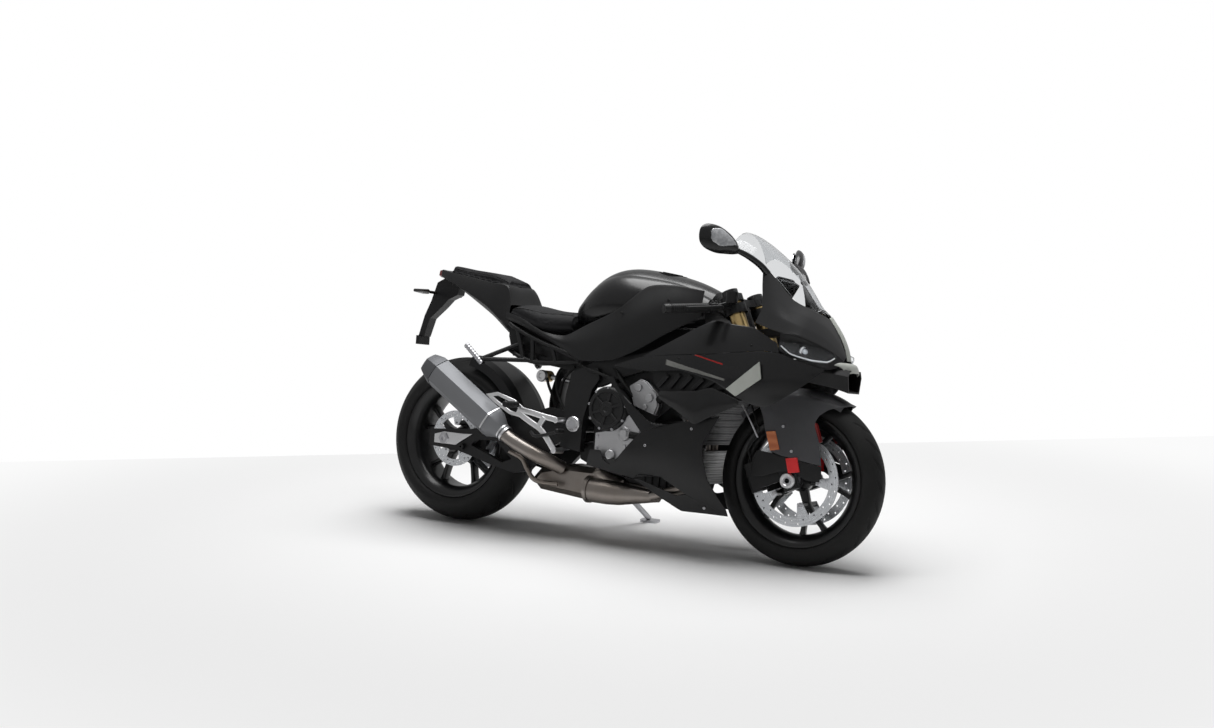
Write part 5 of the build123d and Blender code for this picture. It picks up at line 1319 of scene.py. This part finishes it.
# Chain: links along the two straight runs and round both sprockets
CHAIN_Y = 118.0
REAR_PITCH = 113.5
FRONT_PITCH = 43.2
LINK_PITCH = 15.875
SPROCKET = np.array([-38.0, 440.0])
apart = SPROCKET - REAR_AXLE[[0, 2]]
tilt = math.atan2(apart[1], apart[0])
open_by = math.pi / 2 - math.asin((REAR_PITCH - FRONT_PITCH) / math.hypot(*apart))
round_front = np.linspace(tilt + open_by, tilt - open_by, 60)
round_rear = np.linspace(tilt - open_by, tilt + open_by - 2 * np.pi, 120)
loop = np.concatenate([
    SPROCKET + FRONT_PITCH * unit(round_front),
    REAR_AXLE[[0, 2]] + REAR_PITCH * unit(round_rear),
])
loop = np.concatenate([loop, loop[:1]])
run = np.concatenate([[0], np.cumsum(np.linalg.norm(np.diff(loop, axis=0), axis=1))])
links = 2 * round(run[-1] / LINK_PITCH / 2)
stops = np.linspace(0, run[-1], links + 1)
pins = np.stack([np.interp(stops, run, loop[:, k]) for k in (0, 1)], -1)
way = np.diff(pins, axis=0)
aim = lateral_turns(np.arctan2(way[:, 1], way[:, 0]))
mid = at_lateral((pins[1:] + pins[:-1]) / 2, CHAIN_Y)
half_turn = np.linspace(-np.pi / 2, np.pi / 2, 7)
right = (7.9, 0) + 6.6 * unit(half_turn)
stadium = np.concatenate([right, -right])
roller = 5 * unit(2 * half_turn[:-1]) - (7.9, 0)
inner = merged(plate(stadium, 4.6, 6.2), plate(stadium, -6.2, -4.6), plate(roller, -4.6, 4.6))
outer = merged(plate(stadium, 6.4, 8.2), plate(stadium, -8.2, -6.4), plate(roller, -8.8, 8.8))
cog_turn = full_turn(128)
cog_r = 38.2 + 2.6 * np.cos(16 * cog_turn)
cog = plate(SPROCKET + cog_r[:, None] * unit(cog_turn), CHAIN_Y - 4, CHAIN_Y + 4)
hub = spun([(98.5, 0), (98.5, 16), (129, 16), (130, 14), (130, 0)], (SPROCKET[0], 0, SPROCKET[1]), 48)
chained = merged(repeated(inner, aim[::2], mid[::2]), repeated(outer, aim[1::2], mid[1::2]), cog, hub)
make("chain_links", chained, "steel", stands_for=["chain"])

# Seats
VOXEL = 0.005
PRESSURE = 4.0
CLOTH_FRAMES = 20
DRAW_IN = 0.004
SWELL_CAP = 0.005
UNDERSIDE = -0.35
FADE = 0.3
SMOOTH_OVER = 9


def rows_of(mesh, field):
    """Places or normals of a mesh's points, one row for each."""
    flat = np.empty(3 * len(mesh.vertices))
    mesh.vertices.foreach_get(field, flat)
    return flat.reshape(-1, 3)


def swollen(node, name):
    """Seat pad: a copy of the solid drawn in along its normals, remeshed, blown up as cloth with each point's
    move capped, its underside left as it was."""
    mesh = frame["nodes"][node].data.copy()
    cleaned(mesh, 1e-5)
    pad = added(name, mesh)
    voxel = pad.modifiers.new("voxel", "REMESH")
    voxel.mode = "VOXEL"
    voxel.voxel_size = VOXEL
    pad.data = bpy.data.meshes.new_from_object(pad.evaluated_get(bpy.context.evaluated_depsgraph_get()))
    pad.modifiers.clear()
    start = rows_of(pad.data, "co")
    normal = rows_of(pad.data, "normal")
    loose = np.clip((normal[:, 2:] - UNDERSIDE) / FADE, 0, 1)
    start = start - normal * loose * DRAW_IN
    pad.data.vertices.foreach_set("co", start.ravel())
    cloth = pad.modifiers.new("cloth", "CLOTH")
    cloth.settings.use_pressure = True
    cloth.settings.uniform_pressure_force = PRESSURE
    cloth.settings.effector_weights.gravity = 0.0
    cloth.point_cache.frame_start = 1
    cloth.point_cache.frame_end = CLOTH_FRAMES
    for step in range(1, CLOTH_FRAMES + 1):
        bpy.context.scene.frame_set(step)
    blown = pad.evaluated_get(bpy.context.evaluated_depsgraph_get()).to_mesh()
    move = rows_of(blown, "co") - start
    pad.modifiers.clear()
    far = np.linalg.norm(move, axis=1, keepdims=True)
    move *= np.minimum(1, SWELL_CAP / np.maximum(far, 1e-9)) * loose
    pad.data.vertices.foreach_set("co", (start + move).ravel())
    bpy.context.scene.frame_set(1)
    pad.data.update()
    pad.data.shade_smooth()
    pad.data.materials.clear()
    pad.data.materials.append(MADE["leather"])
    finer = pad.modifiers.new("finer", "SUBSURF")
    finer.levels = 1
    finer.render_levels = 1
    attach(pad, "frame")
    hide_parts(node)
    return pad


def settled(path, pad):
    """Path drawn to the nearest points of a pad and smoothed, in the row frame, then turned back upright."""
    at = placed(path)
    points = rows_of(pad.data, "co")
    near = points[np.argmin(np.linalg.norm(points[None] - at[:, None], axis=2), axis=1)]
    side = SMOOTH_OVER // 2
    longer = np.concatenate([near[:1]] * side + [near] + [near[-1:]] * side)
    weights = np.full(SMOOTH_OVER, 1 / SMOOTH_OVER)
    even = np.stack([np.convolve(longer[:, k], weights, "valid") for k in range(3)], -1)
    p = (even - SHIFT) * 1000
    y = p[:, 1] * math.cos(LEAN) - p[:, 2] * math.sin(LEAN)
    z = p[:, 1] * math.sin(LEAN) + p[:, 2] * math.cos(LEAN)
    return grid_of(p[:, 0], y, z)


pads = [swollen("rider_seat", "rider_pad"), swollen("pillion_seat", "pillion_pad")]
PIPING = [
    [(-470, -117, 856), (-400, -126, 857), (-317, -122, 848), (-250, -101, 845), (-206, -74, 842)],
    [(-516, -78, 953), (-600, -72, 981), (-744, -54, 999), (-826, -38, 1012)],
]
seams = [tube(settled(curve(np.array(line) * (1, s, 1), 60), pad), 1.8, 8)
         for line, pad in zip(PIPING, pads) for s in (1, -1)]
make("seat_piping", merged(*seams), "rubber")

# Floor, light and camera
GLOW_FROM = 2.1
GLOW_OVER = 2.8
floor_mesh = bpy.data.meshes.new("floor")
edge_at = np.array([-3.445, -0.284, 0.0])
edge_way = np.array([0.7876, 0.6162, 0.0])
front_way = np.array([0.6162, -0.7876, 0.0])
corners = [edge_at + a * edge_way + b * front_way for a, b in ((-25, 25), (30, 25), (30, 0), (-25, 0))]
floor_mesh.from_pydata([tuple(c) for c in corners], [], [(0, 1, 2, 3)])
floor = added("floor", floor_mesh)


def paper(wire, at):
    """Looks of the floor: a pale sheet with barely visible mottling."""
    slow = noise(wire, at, 0.7, 3.0)
    return {
        "Base Color": mixed(wire, slow, (0.90, 0.90, 0.90), (0.93, 0.93, 0.93)),
        "Roughness": 0.7 + slow * 0.1,
    }


floor_mesh.materials.append(material("paper", paper))
sheet = MADE["paper"].node_tree
wire = Wire(sheet)
place = parts_of(wire, wire.node("TexCoord", {}, {}, "Object"))
seen = wire.node("LightPath", {}, {}, "Is Camera Ray")
far = ((place[0] * place[0] + place[1] * place[1]) ** 0.5).above(GLOW_FROM, GLOW_OVER) * seen
glow = wire.node("Emission", {}, {"Color": (0.96, 0.96, 0.96, 1.0)})
lit = Wire(sheet, sheet.nodes["Principled BSDF"].outputs[0])
both = wire.node("MixShader", {}, {0: far, 1: lit, 2: glow})
sheet.links.new(both.socket, sheet.nodes["Material Output"].inputs["Surface"])

scene = bpy.context.scene
scene.view_settings.view_transform = "Standard"
world = bpy.data.worlds.new("studio")
scene.world = world
world.use_nodes = True
sky = world.node_tree
back = sky.nodes["Background"]
wire = Wire(sky)
ray = sky.nodes.new("ShaderNodeLightPath")
seen = Wire(sky, ray.outputs["Is Camera Ray"])
through = Wire(sky, ray.outputs["Is Transmission Ray"])
sharp = seen.math("MAXIMUM", seen, through)
gloss = Wire(sky, ray.outputs["Is Glossy Ray"])
fill = mixed(wire, gloss, (0.10, 0.10, 0.10), (0.45, 0.45, 0.45))
sky.links.new(mixed(wire, sharp, fill, (1, 1, 1)).socket, back.inputs["Color"])


def softbox(name, at, aim, width, height, power):
    """Soft area light at a place, turned to face another."""
    data = bpy.data.lights.new(name, "AREA")
    data.shape = "RECTANGLE"
    data.size = width
    data.size_y = height
    data.energy = power
    light = added(name, data)
    light.location = at
    run = np.array(aim, float) - np.array(at, float)
    yaw = math.atan2(run[0], -run[1])
    drop = math.atan2(math.hypot(run[0], run[1]), -run[2])
    light.rotation_euler = (drop, 0, yaw)


softbox("light_top", (-0.1, 0.35, 4.2), (0, 0, 0), 3.4, 3.4, 225)
softbox("light_key", (2.8, -4.2, 3.2), (0.1, 0, 0.6), 2.4, 1.6, 64)
softbox("light_rear", (-3.2, -2.2, 2.2), (-0.2, 0, 0.6), 1.4, 1.6, 30)
softbox("light_far", (1.0, 4.0, 2.8), (0, 0, 0.6), 2.6, 1.4, 35)

camera_data = bpy.data.cameras.new("camera")
camera = added("camera", camera_data)
scene.camera = camera
camera_data.lens = 41.31
camera_data.sensor_width = 36.0
camera.location = np.array([2.600, -4.424, 1.228]) + SHIFT
camera.rotation_euler = (math.radians(90 - 6.23), 0, math.radians(30.82))
